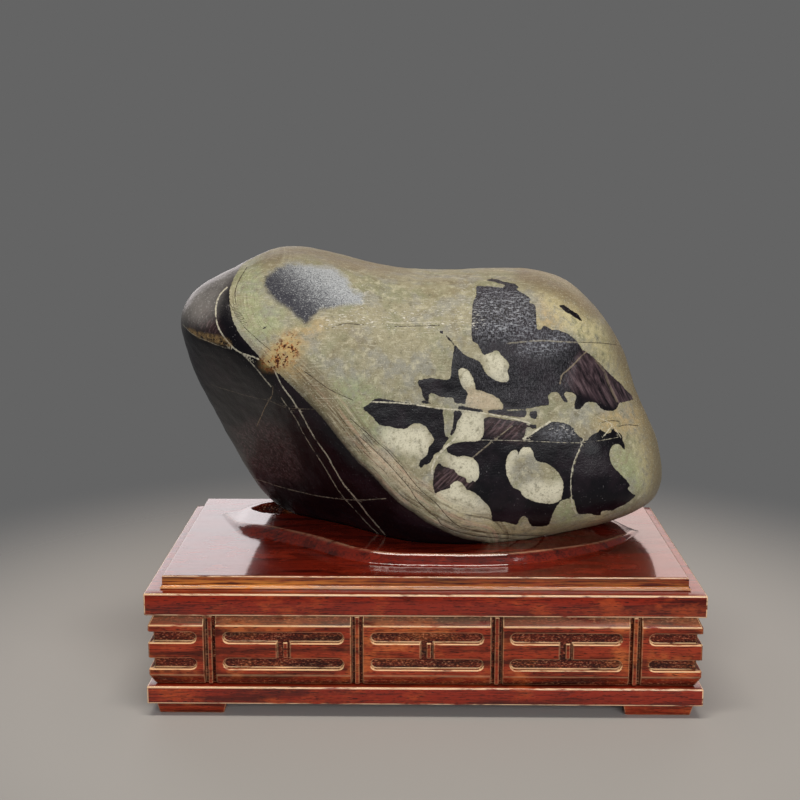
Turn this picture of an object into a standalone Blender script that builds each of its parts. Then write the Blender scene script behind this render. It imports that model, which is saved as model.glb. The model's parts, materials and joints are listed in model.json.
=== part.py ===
"""A viewing stone resting in the carved seat of a fretwork hardwood stand.

Run it with blender --background --python part.py. Sizes are in millimetres
and become metres as they enter Blender. +Z is up, +X is to the viewer's
right, and the front of the stand faces -Y. The origin is the middle of the
stand's footprint, on the surface that it stands on.
"""

import math

import bmesh
import bpy
import numpy as np

MM = 0.001
GAP = 0.3

# The stand's boards and feet, from the surface up.
STAND_WIDTH = 360.0
STAND_DEPTH = 210.0
FOOT_HEIGHT = 9.0
FOOT_LENGTH = 46.0
FOOT_WIDTH = 32.0
FOOT_INSET = 5.0
FOOT_TAPER = 4.0
PLINTH_THICKNESS = 12.0
FRIEZE_HEIGHT = 48.0
SLAB_THICKNESS = 15.0
BOARD_THICKNESS = 10.0
EDGE_ROUNDING = 2.0
EDGE_STEPS = 3

# The fretwork rails between the plinth and the slab, mitred at the corners.
RAIL_SETBACK = 1.8
RAIL_THICKNESS = 16.0
RAIL_CHAMFER_HEIGHT = 7.2
RAIL_CHAMFER_DEPTH = 3.5
FRONT_GROOVES = (-138.5, -43.5, 46.5, 135.5)
SIDE_GROOVES = (-65.0, 0.0, 65.0)
GROOVE_WIDTH = 7.4
GROOVE_DEPTH = 5.0
FRET_MARGIN_SIDE = 5.0
FRET_MARGIN_END = 4.3
FRET_WIDTH = 7.2
FRET_DEPTH = 3.0
FRET_STEM = 8.5
FRET_END_STEPS = 6
CUTTER_OVERSHOOT = 2.0

# The seat board on the slab. It flares a little at its foot.
BOARD_INSET = 11.0
BOARD_FLARE = 1.8
BOARD_FLARE_HEIGHT = 5.5
BOARD_EDGE_ROUNDING = 1.2

# The swelling that the seat is carved in, in plan: a leaf with two pointed tips. Each
# station along it has the foot of its front slope, the rim above it and the foot of its
# back slope as (x, y), and the height of the rim.
SEAT_STATIONS = (
    ((-149, 40), (-147, 39.5), (-147, 43), 0.8),
    ((-138, 10), (-136, 17), (-136, 58), 3.2),
    ((-122, -14), (-121, 1), (-120, 68), 5.2),
    ((-100, -27), (-98, -6), (-100, 75), 6.6),
    ((-79, -36), (-76, -19), (-78, 80), 7.6),
    ((-53, -57), (-54, -39), (-52, 83), 8.0),
    ((-29, -70), (-31, -63), (-26, 85), 8.0),
    ((3, -77), (3, -73), (3, 86), 8.0),
    ((36, -79), (36, -75), (34, 85), 8.0),
    ((62, -75), (62, -71), (62, 80), 8.0),
    ((90, -64), (88, -60), (90, 70), 7.6),
    ((119, -46), (115, -42), (116, 56), 6.0),
    ((138, -24), (134, -20), (136, 36), 4.0),
    ((153, 3), (151, 4), (151, 8), 0.8),
)
SEAT_STATION_STEPS = 34
SEAT_ROOT = 1.5
SEAT_BACK_SLOPE = 6.0
# The slope's section: the share of its width, and the share of its height reached there.
SEAT_SLOPE = ((0.0, 0.0), (0.3, 0.1), (0.55, 0.36), (0.72, 0.68), (0.86, 0.92), (1.0, 1.0))

# The seat runs on past the stone's left end as a hollow with a pointed tip, in plan.
HOLLOW_OUTLINE = (
    (-130, 50), (-124, 40), (-115, 31), (-103, 26), (-90, 30), (-84, 42), (-90, 56),
    (-104, 63), (-118, 60), (-125, 56),
)
HOLLOW_DEPTH = 8.5
HOLLOW_FLOOR_SHARE = 0.72

PLINTH_BOTTOM = FOOT_HEIGHT
FRIEZE_BOTTOM = PLINTH_BOTTOM + PLINTH_THICKNESS
SLAB_BOTTOM = FRIEZE_BOTTOM + FRIEZE_HEIGHT
BOARD_BOTTOM = SLAB_BOTTOM + SLAB_THICKNESS
BOARD_TOP = BOARD_BOTTOM + BOARD_THICKNESS

# The stone is turned to an eye in front of the stand. Its outline below is what that eye sees.
EYE = np.array([-5.4, -893.5, BOARD_TOP + 268.4])
EYE_PITCH = math.radians(10.92)
EYE_YAW = math.radians(-0.756)

# The point inside the stone that its surface is measured from, and the flat spot that it rests on.
HEART = np.array([-2.0, 5.0, BOARD_TOP + 100.0])
REST_HEIGHT = BOARD_TOP + 2.0
STONE_CELLS = 18
STONE_REACH = (1.55, 0.8, 1.0)
STONE_ROUNDING = 6.5
FARTHEST_SURFACE = 320.0
BISECTIONS = 34
CARVING_CLEARANCE = 0.4
OUTLINE_STOPS = 360

# The faces that a river has worn on the stone: azimuth from the viewer, turning to
# the right, elevation above the level, both in degrees, and distance from the heart.
WORN_FACES = {
    "picture face": (8, 4, 77),
    "brow over the picture face": (2, 40, 89),
    "crown": (10, 84, 98),
    "crown falling to the back": (176, 42, 98),
    "dark flank": (-46, -36, 85),
    "left shoulder": (-84, 24, 158),
    "shoulder over the dark flank": (-36, 34, 134),
    "left flank at the back": (-132, 8, 112),
    "right shoulder": (80, 42, 142),
    "right end": (78, -14, 166),
    "right cheek": (44, 4, 128),
    "right flank at the back": (136, 8, 116),
    "underside": (0, -86, 99),
    "chin under the picture face": (4, -48, 101),
    "right undercut": (60, -50, 128),
    "left undercut": (-65, -55, 112),
    "back": (184, 2, 76),
    "back undercut": (174, -40, 92),
}

# The outline from the heart as the eye sees it: the angle in degrees, turning up from
# the viewer's right, and the distance in millimetres.
STONE_OUTLINE = (
    (-174, 146), (-160, 136), (-146, 131), (-136, 126), (-126, 116), (-114, 109), (-100, 108),
    (-84, 110), (-68, 117), (-54, 128), (-44, 141), (-35, 159), (-29, 173), (-22, 181),
    (-12, 170), (0, 152), (14, 144), (28, 136), (40, 128), (50, 115), (60, 102), (72, 92),
    (84, 88), (96, 89), (108, 96), (118, 109), (126, 127), (134, 145), (142, 154), (148, 162),
    (154, 174), (162, 179), (170, 168),
)

STONE_COLOUR = (0.30, 0.28, 0.20)
WOOD_COLOUR = (0.22, 0.045, 0.022)
DARK_WOOD_COLOUR = (0.15, 0.035, 0.02)


def clear_scene():
    """Removes the startup scene's objects."""
    for old in list(bpy.data.objects):
        bpy.data.objects.remove(old, do_unlink=True)


def material(name, colour, roughness):
    """A plain material of one colour."""
    made = bpy.data.materials.new(name)
    made.use_nodes = True
    shader = made.node_tree.nodes["Principled BSDF"]
    shader.inputs["Base Color"].default_value = (*colour, 1.0)
    shader.inputs["Roughness"].default_value = roughness
    shader.inputs["Metallic"].default_value = 0.0
    made.diffuse_color = (*colour, 1.0)
    return made


def new_object(name, mesh, finish=None):
    """A linked object for a mesh in metres, with its material."""
    made = bpy.data.objects.new(name, mesh)
    bpy.context.scene.collection.objects.link(made)
    if finish:
        mesh.materials.append(finish)
    return made


def mesh_from(name, points, faces):
    """A closed mesh of points in millimetres and faces, its normals pointing out."""
    mesh = bpy.data.meshes.new(name)
    mesh.from_pydata([tuple(float(c) * MM for c in p) for p in points], [], faces)
    shape = bmesh.new()
    shape.from_mesh(mesh)
    bmesh.ops.recalc_face_normals(shape, faces=shape.faces)
    shape.to_mesh(mesh)
    shape.free()
    return mesh


def stacked_loops(name, loops):
    """A solid through closed loops of equal length, from the lowest to the highest."""
    count = len(loops[0])
    points = [p for loop in loops for p in loop]
    faces = [list(range(count)), list(range(len(points) - count, len(points)))]
    for level in range(len(loops) - 1):
        low = level * count
        for i in range(count):
            j = (i + 1) % count
            faces.append([low + i, low + j, low + count + j, low + count + i])
    return mesh_from(name, points, faces)


def rectangle(width, depth, z):
    """The corners of a level rectangle about the origin."""
    x, y = width / 2, depth / 2
    return [(-x, -y, z), (x, -y, z), (x, y, z), (-x, y, z)]


def as_cutter(name, mesh):
    """A hidden object that a Boolean uses and the model leaves out."""
    made = new_object(name, mesh)
    made.hide_render = True
    made.display_type = "WIRE"
    return made


def add_boolean(target, operation, other):
    """Joins or cuts the target with another object."""
    step = target.modifiers.new(f"{operation.lower()} {other.name}", "BOOLEAN")
    step.operation = operation
    step.object = other
    step.solver = "EXACT"


def rounded_board(name, bottom, thickness, finish):
    """A board of the stand's full size whose upper and lower edges are rounded."""
    steps = [math.radians(90 * i / EDGE_STEPS) for i in range(EDGE_STEPS + 1)]
    loops = []
    for angle in steps:
        pull = EDGE_ROUNDING * (1 - math.sin(angle))
        z = bottom + EDGE_ROUNDING * (1 - math.cos(angle))
        loops.append(rectangle(STAND_WIDTH - 2 * pull, STAND_DEPTH - 2 * pull, z))
    for angle in reversed(steps):
        pull = EDGE_ROUNDING * (1 - math.sin(angle))
        z = bottom + thickness - EDGE_ROUNDING * (1 - math.cos(angle))
        loops.append(rectangle(STAND_WIDTH - 2 * pull, STAND_DEPTH - 2 * pull, z))
    return new_object(name, stacked_loops(name, loops), finish)


def build_feet(finish):
    """Four low feet that taper in towards the surface."""
    for end, sx in (("left", -1), ("right", 1)):
        for side, sy in (("front", -1), ("back", 1)):
            x = sx * (STAND_WIDTH / 2 - FOOT_INSET - FOOT_LENGTH / 2)
            y = sy * (STAND_DEPTH / 2 - FOOT_INSET - FOOT_WIDTH / 2)
            low = rectangle(FOOT_LENGTH - FOOT_TAPER, FOOT_WIDTH - FOOT_TAPER, 0)
            high = rectangle(FOOT_LENGTH, FOOT_WIDTH, FOOT_HEIGHT - GAP)
            loops = [[(px + x, py + y, pz) for px, py, pz in loop] for loop in (low, high)]
            name = f"foot_{side}_{end}"
            new_object(name, stacked_loops(name, loops), finish)


def fret_outline(left, right, open_left=False, open_right=False):
    """The sunk line of one block: two slots with round ends and, on a whole block, a stem.

    Returns the outlines, counter-clockwise, as (x, z) points.
    """
    radius = FRET_WIDTH / 2
    low = RAIL_CHAMFER_HEIGHT + FRET_MARGIN_END + radius
    high = FRIEZE_HEIGHT - low

    def end(x, z, turn):
        """A slot's round end: half a circle from the angle turn, in degrees."""
        steps = [math.radians(turn + 180 * i / FRET_END_STEPS) for i in range(FRET_END_STEPS + 1)]
        return [(x + radius * math.cos(a), z + radius * math.sin(a)) for a in steps]

    def flat(x, z, up):
        """A slot's open end, which runs out past the rail."""
        ends = [(x, z - radius), (x, z + radius)]
        return ends if up else ends[::-1]

    def right_end(z):
        return flat(right, z, True) if open_right else end(right - radius, z, -90)

    def left_end(z):
        return flat(left, z, False) if open_left else end(left + radius, z, 90)

    if open_left or open_right:
        return [left_end(z) + right_end(z) for z in (low, high)]
    stem = [(left + right) / 2 + s * FRET_STEM / 2 for s in (-1, 1)]
    return [
        left_end(low)
        + right_end(low)
        + [(stem[1], low + radius), (stem[1], high - radius)]
        + right_end(high)
        + left_end(high)
        + [(stem[0], high - radius), (stem[0], low + radius)]
    ]


def prism_across(outline, near, far):
    """Points and faces of an (x, z) outline drawn out along Y."""
    count = len(outline)
    points = [(x, near, z) for x, z in outline] + [(x, far, z) for x, z in outline]
    faces = [list(range(count)), list(range(2 * count - 1, count - 1, -1))]
    faces += [[(i + 1) % count, i, count + i, count + (i + 1) % count] for i in range(count)]
    return points, faces


def rail_cutter(name, length, grooves):
    """All the grooves and sunk lines of one rail, as separate closed shapes in one mesh.

    The grooves are given by their middles, from the rail's middle along its length.
    """
    past = length / 2 + CUTTER_OVERSHOOT
    near = -CUTTER_OVERSHOOT
    low, high = -CUTTER_OVERSHOOT, FRIEZE_HEIGHT + CUTTER_OVERSHOOT
    edges = [(middle - GROOVE_WIDTH / 2, middle + GROOVE_WIDTH / 2) for middle in grooves]
    outlines = fret_outline(-past, edges[0][0] - FRET_MARGIN_SIDE, open_left=True)
    outlines += fret_outline(edges[-1][1] + FRET_MARGIN_SIDE, past, open_right=True)
    for (_, left), (right, _) in zip(edges, edges[1:]):
        outlines += fret_outline(left + FRET_MARGIN_SIDE, right - FRET_MARGIN_SIDE)
    shapes = [prism_across(outline, near, FRET_DEPTH) for outline in outlines]
    for left, right in edges:
        groove = [(left, low), (right, low), (right, high), (left, high)]
        shapes.append(prism_across(groove, near, GROOVE_DEPTH))
    points, faces = [], []
    for more_points, more_faces in shapes:
        faces += [[len(points) + i for i in face] for face in more_faces]
        points += more_points
    return mesh_from(name, points, faces)


def rail_body(name, length):
    """A rail with chamfered long edges and mitred ends, its face on y = 0."""
    profile = [
        (RAIL_CHAMFER_DEPTH, GAP),
        (0, RAIL_CHAMFER_HEIGHT),
        (0, FRIEZE_HEIGHT - RAIL_CHAMFER_HEIGHT),
        (RAIL_CHAMFER_DEPTH, FRIEZE_HEIGHT - GAP),
        (RAIL_THICKNESS, FRIEZE_HEIGHT - GAP),
        (RAIL_THICKNESS, GAP),
    ]
    reach = length / 2 - 0.75 * GAP
    left = [(-(reach - y), y, z) for y, z in profile]
    right = [(reach - y, y, z) for y, z in profile]
    return stacked_loops(name, [left, right])


def build_rails(finish):
    """The four fretwork rails round the stand."""
    width = STAND_WIDTH - 2 * RAIL_SETBACK
    depth = STAND_DEPTH - 2 * RAIL_SETBACK
    rails = (
        ("frieze_front", width, FRONT_GROOVES, 0, (0, -depth / 2)),
        ("frieze_right", depth, SIDE_GROOVES, 90, (width / 2, 0)),
        ("frieze_back", width, FRONT_GROOVES, 180, (0, depth / 2)),
        ("frieze_left", depth, SIDE_GROOVES, 270, (-width / 2, 0)),
    )
    for name, length, grooves, turn, (x, y) in rails:
        rail = new_object(name, rail_body(name, length), finish)
        cutter = as_cutter(f"{name}_cutter", rail_cutter(f"{name}_cutter", length, grooves))
        for each in (rail, cutter):
            each.location = (x * MM, y * MM, FRIEZE_BOTTOM * MM)
            each.rotation_euler = (0, 0, math.radians(turn))
        add_boolean(rail, "DIFFERENCE", cutter)


def curve_through(knots, count):
    """Evenly timed points on a Catmull-Rom curve through the knots."""
    knots = np.array(knots, float)
    padded = np.vstack([2 * knots[0] - knots[1], knots, 2 * knots[-1] - knots[-2]])
    points = []
    for t in np.linspace(0, len(knots) - 1, count):
        i = min(int(t), len(knots) - 2)
        u = t - i
        a, b, c, d = padded[i : i + 4]
        bend = (2 * a - 5 * b + 4 * c - d) * u**2 + (3 * b - a - 3 * c + d) * u**3
        points.append(0.5 * (2 * b + (c - a) * u + bend))
    return np.array(points)


def seat_swelling():
    """The leaf-shaped swelling on the seat board, through sections across its length."""
    stations = [(*foot, *rim, *back, height) for foot, rim, back, height in SEAT_STATIONS]
    sections = []
    for fx, fy, rx, ry, bx, by, height in curve_through(stations, SEAT_STATION_STEPS):
        inset = min(SEAT_BACK_SLOPE, 0.3 * (by - ry))
        ring = [(fx, fy, BOARD_TOP - SEAT_ROOT)]
        for across, up in SEAT_SLOPE:
            z = BOARD_TOP + height * up
            ring.append((fx + (rx - fx) * across, fy + (ry - fy) * across, z))
        for share in (0.33, 0.67):
            x, y = rx + (bx - rx) * share, ry + (by - inset - ry) * share
            ring.append((x, y, BOARD_TOP + height))
        for across, up in reversed(SEAT_SLOPE):
            ring.append((bx, by - inset * across, BOARD_TOP + height * up))
        ring.append((bx, by, BOARD_TOP - SEAT_ROOT))
        sections.append(ring)
    return stacked_loops("seat_swelling", sections)


def hollow():
    """The cutter of the pointed hollow, narrower at its floor."""
    outline = curve_through([*HOLLOW_OUTLINE, HOLLOW_OUTLINE[0]], 3 * len(HOLLOW_OUTLINE) + 1)[:-1]
    middle = outline.mean(axis=0)
    highest = max(height for *_, height in SEAT_STATIONS)
    floor = BOARD_TOP + highest - HOLLOW_DEPTH
    top = BOARD_TOP + highest + CUTTER_OVERSHOOT
    loops = []
    for share, z in ((HOLLOW_FLOOR_SHARE, floor), (0.93, floor + 2.5), (1.0, top)):
        loops.append([(*(middle + (p - middle) * share), z) for p in outline])
    return stacked_loops("hollow", loops)


def seat_board_body():
    """The seat board: its foot flares, and its upper edge is lightly rounded."""
    width = STAND_WIDTH - 2 * BOARD_INSET
    depth = STAND_DEPTH - 2 * BOARD_INSET
    flare = 2 * BOARD_FLARE
    levels = [
        (flare, BOARD_BOTTOM + GAP),
        (flare, BOARD_BOTTOM + 1.2),
        (0.4 * flare, BOARD_BOTTOM + 0.6 * BOARD_FLARE_HEIGHT),
        (0.0, BOARD_BOTTOM + BOARD_FLARE_HEIGHT),
    ]
    for i in range(EDGE_STEPS + 1):
        angle = math.radians(90 * i / EDGE_STEPS)
        pull = BOARD_EDGE_ROUNDING * (1 - math.cos(angle))
        levels.append((-2 * pull, BOARD_TOP - BOARD_EDGE_ROUNDING * (1 - math.sin(angle))))
    loops = [rectangle(width + wider, depth + wider, z) for wider, z in levels]
    return stacked_loops("seat_board", loops)


def facing(azimuth, elevation):
    """The unit vector of an azimuth from the viewer and an elevation, in degrees."""
    a, e = math.radians(azimuth), math.radians(elevation)
    return (math.sin(a) * math.cos(e), -math.cos(a) * math.cos(e), math.sin(e))


def sphere_grid(cells):
    """Unit directions and quads of a cube's surface grid drawn onto a sphere."""
    steps = np.tan(np.linspace(-math.pi / 4, math.pi / 4, cells + 1))
    numbers, directions, quads = {}, [], []

    def number(axis, side, i, j):
        """The number of a grid point, which faces of the cube share along its edges."""
        point = [0.0, 0.0, 0.0]
        point[axis] = side
        point[(axis + 1) % 3] = steps[i]
        point[(axis + 2) % 3] = steps[j]
        key = tuple(round(c, 6) for c in point)
        if key not in numbers:
            numbers[key] = len(directions)
            directions.append(point)
        return numbers[key]

    for axis in range(3):
        for side in (-1.0, 1.0):
            for i in range(cells):
                for j in range(cells):
                    corners = ((i, j), (i + 1, j), (i + 1, j + 1), (i, j + 1))
                    quads.append([number(axis, side, *corner) for corner in corners])
    directions = np.array(directions)
    return directions / np.linalg.norm(directions, axis=1)[:, None], quads


def worn_surface(directions):
    """Points where rays from the heart leave the worn faces, whose meetings are rounded."""
    normals = np.array([facing(azimuth, elevation) for azimuth, elevation, _ in WORN_FACES.values()])
    distances = np.array([distance for *_, distance in WORN_FACES.values()], float)
    towards = directions @ normals.T
    near = np.zeros(len(directions))
    far = np.full(len(directions), FARTHEST_SURFACE)
    for _ in range(BISECTIONS):
        reach = (near + far) / 2
        past = (reach[:, None] * towards - distances) / STONE_ROUNDING
        outside = np.logaddexp.reduce(past, axis=1) > 0
        near = np.where(outside, near, reach)
        far = np.where(outside, reach, far)
    return HEART + directions * near[:, None]


def eye_axes():
    """The eye's directions to its right, up and forward, one to a row."""
    c, s = math.cos(EYE_YAW), math.sin(EYE_YAW)
    cp, sp = math.cos(EYE_PITCH), math.sin(EYE_PITCH)
    return np.array([(c, -s, 0.0), (sp * s, sp * c, cp), (cp * s, cp * c, -sp)])


def outline_distance(angles):
    """The outline's distance from the heart at each angle, in radians, by a smooth curve."""
    knots = [(a - 360, d) for a, d in STONE_OUTLINE] + list(STONE_OUTLINE)
    knots += [(a + 360, d) for a, d in STONE_OUTLINE]
    curve = curve_through(knots, 12 * len(knots))
    return np.interp(np.degrees(angles), curve[:, 0], curve[:, 1])


def fitted_to_outline(points):
    """Moves points across the eye's view, so that the outline they make is the stone's."""
    axes = eye_axes()
    seen = (points - EYE) @ axes.T
    heart = axes @ (HEART - EYE)
    scale = heart[2] / seen[:, 2]
    across = seen[:, :2] * scale[:, None] - heart[:2]
    turn = np.linspace(-math.pi, math.pi, OUTLINE_STOPS, endpoint=False)
    around = np.stack([np.cos(turn), np.sin(turn)])
    support = (across @ around).max(axis=0)
    cosines = np.cos(turn[:, None] - turn[None, :])
    limits = np.where(cosines > 0.05, support[None, :] / np.maximum(cosines, 0.05), np.inf)
    modelled = limits.min(axis=1)
    angle = np.arctan2(across[:, 1], across[:, 0])
    stretch = outline_distance(angle) / np.interp(angle, turn, modelled, period=2 * math.pi)
    seen[:, :2] = (across * stretch[:, None] + heart[:2]) / scale[:, None]
    return seen @ axes + EYE


def stone_mesh():
    """The stone: worn faces that meet in soft ridges, and the flat spot that it rests on."""
    directions, quads = sphere_grid(STONE_CELLS)
    directions = directions * STONE_REACH
    directions /= np.linalg.norm(directions, axis=1)[:, None]
    points = fitted_to_outline(worn_surface(directions))
    points[:, 2] = np.maximum(points[:, 2], REST_HEIGHT)
    return mesh_from("stone", points, quads)


def swollen(mesh, name, distance):
    """A copy of a mesh whose points are moved out along their normals."""
    copy = mesh.copy()
    copy.name = name
    for point, normal in zip(copy.vertices, mesh.vertex_normals):
        point.co += normal.vector * distance * MM
    return copy


def build_stone(finish):
    """The stone, shaded smooth."""
    made = new_object("stone", stone_mesh(), finish)
    made.data.shade_smooth()
    return made


def build_seat_board(finish, stone):
    """The seat board with its swelling, cut to fit the stone, and its pointed hollow."""
    board = new_object("seat_board", seat_board_body(), finish)
    add_boolean(board, "UNION", as_cutter("seat_swelling", seat_swelling()))
    pocket = swollen(stone.data, "stone_pocket", CARVING_CLEARANCE)
    add_boolean(board, "DIFFERENCE", as_cutter("stone_pocket", pocket))
    add_boolean(board, "DIFFERENCE", as_cutter("hollow", hollow()))


def main():
    """Builds the stone and the stand's pieces."""
    clear_scene()
    stone_finish = material("river stone", STONE_COLOUR, 0.35)
    wood = material("red lacquered hardwood", WOOD_COLOUR, 0.2)
    dark_wood = material("dark lacquered hardwood", DARK_WOOD_COLOUR, 0.25)
    stone = build_stone(stone_finish)
    build_seat_board(wood, stone)
    rounded_board("top_slab", SLAB_BOTTOM, SLAB_THICKNESS, wood)
    build_rails(dark_wood)
    rounded_board("plinth", PLINTH_BOTTOM, PLINTH_THICKNESS, wood)
    build_feet(dark_wood)


main()
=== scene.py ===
"""Dresses a viewing stone and its hardwood stand: finishes, fine relief, light and camera.

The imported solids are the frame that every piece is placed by. Sizes are in millimetres
and become metres as they enter Blender. Picture points are pixels of the 800 by 800
picture that the eye sees, with x to the right and y down.
"""

import json
import logging
import math
from contextlib import contextmanager
from dataclasses import dataclass, field
from enum import Enum
from typing import Any, Iterator, Sequence

import bpy
import numpy as np
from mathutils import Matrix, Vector, noise
from mathutils.bvhtree import BVHTree

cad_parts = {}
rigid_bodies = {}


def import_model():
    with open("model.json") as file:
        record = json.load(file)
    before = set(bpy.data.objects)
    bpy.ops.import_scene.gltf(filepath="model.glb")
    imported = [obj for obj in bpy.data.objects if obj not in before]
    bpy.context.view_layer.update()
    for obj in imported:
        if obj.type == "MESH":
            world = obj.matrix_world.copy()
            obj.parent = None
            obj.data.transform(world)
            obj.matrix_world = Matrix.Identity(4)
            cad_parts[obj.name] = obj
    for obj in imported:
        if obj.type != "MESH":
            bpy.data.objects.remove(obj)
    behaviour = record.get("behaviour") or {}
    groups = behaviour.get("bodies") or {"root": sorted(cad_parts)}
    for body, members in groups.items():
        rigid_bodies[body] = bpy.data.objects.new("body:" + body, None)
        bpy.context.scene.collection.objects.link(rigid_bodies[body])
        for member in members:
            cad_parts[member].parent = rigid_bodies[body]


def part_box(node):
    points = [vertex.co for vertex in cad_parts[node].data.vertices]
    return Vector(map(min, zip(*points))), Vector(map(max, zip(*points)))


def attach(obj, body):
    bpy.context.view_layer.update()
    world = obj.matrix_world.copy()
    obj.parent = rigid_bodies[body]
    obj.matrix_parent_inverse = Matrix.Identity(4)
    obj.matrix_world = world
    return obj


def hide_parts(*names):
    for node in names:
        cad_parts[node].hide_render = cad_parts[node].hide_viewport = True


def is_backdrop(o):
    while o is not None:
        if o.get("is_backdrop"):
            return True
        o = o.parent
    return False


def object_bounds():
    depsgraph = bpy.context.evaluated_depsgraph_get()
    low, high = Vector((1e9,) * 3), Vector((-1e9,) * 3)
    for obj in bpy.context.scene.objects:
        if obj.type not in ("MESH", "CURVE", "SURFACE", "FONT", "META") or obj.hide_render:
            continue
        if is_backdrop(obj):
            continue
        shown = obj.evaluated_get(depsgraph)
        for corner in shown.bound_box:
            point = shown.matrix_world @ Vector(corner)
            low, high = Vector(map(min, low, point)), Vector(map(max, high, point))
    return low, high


MM = 0.001
BODY = "root"

Place = tuple[float, float]
Points = Sequence[Place]
log = logging.getLogger("viewing_stone")


def linear(hex_colour: str) -> tuple[float, float, float, float]:
    """Turns an sRGB hex colour into linear light.

    Args:
        hex_colour: Six hex digits, such as "7A2A1B".

    Returns:
        Red, green, blue and an alpha of 1.
    """
    parts = [int(hex_colour[i : i + 2], 16) / 255 for i in (0, 2, 4)]
    light = [c / 12.92 if c <= 0.04045 else ((c + 0.055) / 1.055) ** 2.4 for c in parts]
    return (*light, 1.0)


def add_node(tree: bpy.types.NodeTree, kind: str, feeds: dict | None = None, output: str = "",
             **options: Any) -> bpy.types.NodeSocket:
    """Adds a shader node with its settings and links.

    Args:
        tree: The material's node tree.
        kind: The node's type name, after "ShaderNode".
        feeds: Each input's name or number, with its value, its hex colour or the output that
            feeds it.
        output: The output wanted, or nothing for the first one that the settings leave on.
        **options: The node's own settings.

    Returns:
        That output.
    """
    made = tree.nodes.new("ShaderNode" + kind)
    for option, value in options.items():
        setattr(made, option, value)
    for socket, value in (feeds or {}).items():
        if isinstance(value, bpy.types.NodeSocket):
            tree.links.new(value, made.inputs[socket])
        else:
            made.inputs[socket].default_value = linear(value) if isinstance(value, str) else value
    return made.outputs[output] if output else next(o for o in made.outputs if o.enabled)


@dataclass(frozen=True)
class Pattern:
    """Noise whose lumps have a real size in millimetres, drawn out so many times along each axis.

    A turn is in degrees about the axis from front to back. A pattern lies over the piece's
    own coordinates, or over a field of places that it names.
    """

    size: float
    detail: float = 3.0
    stretch: tuple[float, float, float] = (1.0, 1.0, 1.0)
    shift: float = 0.0
    turn: float = 0.0
    over: str = ""


@dataclass(frozen=True)
class Mask:
    """Where something shows: a weighted sum of sources, stepped smoothly from low to high.

    It only shows inside each source that within names.
    """

    parts: dict[str, float]
    low: float
    high: float
    within: tuple[str, ...] = ()
    strength: float = 1.0


Washes = Sequence[tuple[str, Mask]]


class Surface:
    """A material as it is built up, with the patterns, fields and masks that it draws on."""

    noise_roughness = 0.62

    def __init__(self, name: str, patterns: dict[str, Pattern], fields: Sequence[str]) -> None:
        """Makes the material and its first sources.

        Args:
            name: The material's name.
            patterns: The noise patterns, by name.
            fields: The mesh's own attributes that are read.
        """
        self.material = bpy.data.materials.new(name)
        self.material.use_nodes = True
        self.tree = self.material.node_tree
        self.shader = self.tree.nodes["Principled BSDF"]
        self.sources: dict[str, bpy.types.NodeSocket] = {}
        for key in fields:
            self.sources[key] = add_node(self.tree, "Attribute", output="Fac", attribute_name=key)
        own_place = add_node(self.tree, "TexCoord", output="Object")
        for key, pattern in patterns.items():
            place = own_place
            if pattern.over:
                place = add_node(
                    self.tree, "Attribute", output="Vector", attribute_name=pattern.over)
            place = add_node(self.tree, "Mapping", {
                "Vector": place, "Location": [pattern.shift * pattern.size * MM] * 3,
                "Rotation": (0, math.radians(pattern.turn), 0),
                "Scale": [pattern.size * times * MM for times in pattern.stretch],
            }, vector_type="TEXTURE")
            self.sources[key] = add_node(self.tree, "TexNoise", {
                "Vector": place, "Scale": 1.0, "Detail": pattern.detail,
                "Roughness": self.noise_roughness,
            })

    def total(self, parts: dict[str, float], start: float = 0.0) -> Any:
        """Adds up sources by their weights, from a start."""
        for key, weight in parts.items():
            terms = {0: self.sources[key], 1: weight, 2: start}
            start = add_node(self.tree, "Math", terms, operation="MULTIPLY_ADD")
        return start

    def masked(self, mask: Mask) -> bpy.types.NodeSocket:
        """Works out a mask."""
        share = add_node(self.tree, "MapRange", {
            "Value": self.total(mask.parts), "From Min": mask.low, "From Max": mask.high,
            "To Max": mask.strength,
        }, interpolation_type="SMOOTHSTEP")
        for key in mask.within:
            factors = {0: share, 1: self.sources[key]}
            share = add_node(self.tree, "Math", factors, operation="MULTIPLY")
        return share

    def washed(self, colour: Any, washes: Washes) -> Any:
        """Lays washes over a colour, each over the last.

        Args:
            colour: The hex colour or the output to start from.
            washes: Each wash's hex colour and where it shows.

        Returns:
            The last wash's output.
        """
        for over, mask in washes:
            colour = add_node(
                self.tree, "Mix", {0: self.masked(mask), 6: colour, 7: over}, data_type="RGBA")
        return colour

    def completed(self, colour: Any, roughness: Any, relief: Any) -> bpy.types.Material:
        """Links what has been built to the shader.

        Args:
            colour: The surface's colour.
            roughness: Its roughness.
            relief: Its fine relief, in millimetres.

        Returns:
            The finished material.
        """
        bump = add_node(self.tree, "Bump", {"Height": relief, "Strength": 1.0, "Distance": MM})
        for socket, value in (("Base Color", colour), ("Roughness", roughness), ("Normal", bump),
                              ("Coat Normal", bump)):
            self.tree.links.new(value, self.shader.inputs[socket])
        return self.material


def select_only(piece: bpy.types.Object) -> None:
    """Makes a piece the one selected and active object."""
    bpy.ops.object.select_all(action="DESELECT")
    piece.select_set(True)
    bpy.context.view_layer.objects.active = piece


@contextmanager
def editing(piece: bpy.types.Object) -> Iterator[None]:
    """Holds a piece in edit mode with nothing of it selected."""
    select_only(piece)
    bpy.ops.object.mode_set(mode="EDIT")
    bpy.ops.mesh.select_all(action="DESELECT")
    yield
    bpy.ops.object.mode_set(mode="OBJECT")


def apply_modifier(piece: bpy.types.Object, kind: str, **options: Any) -> None:
    """Adds a modifier with its options and applies it."""
    select_only(piece)
    step = piece.modifiers.new(kind.title(), kind)
    for option, value in options.items():
        setattr(step, option, value)
    bpy.ops.object.modifier_apply(modifier=step.name)


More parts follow.
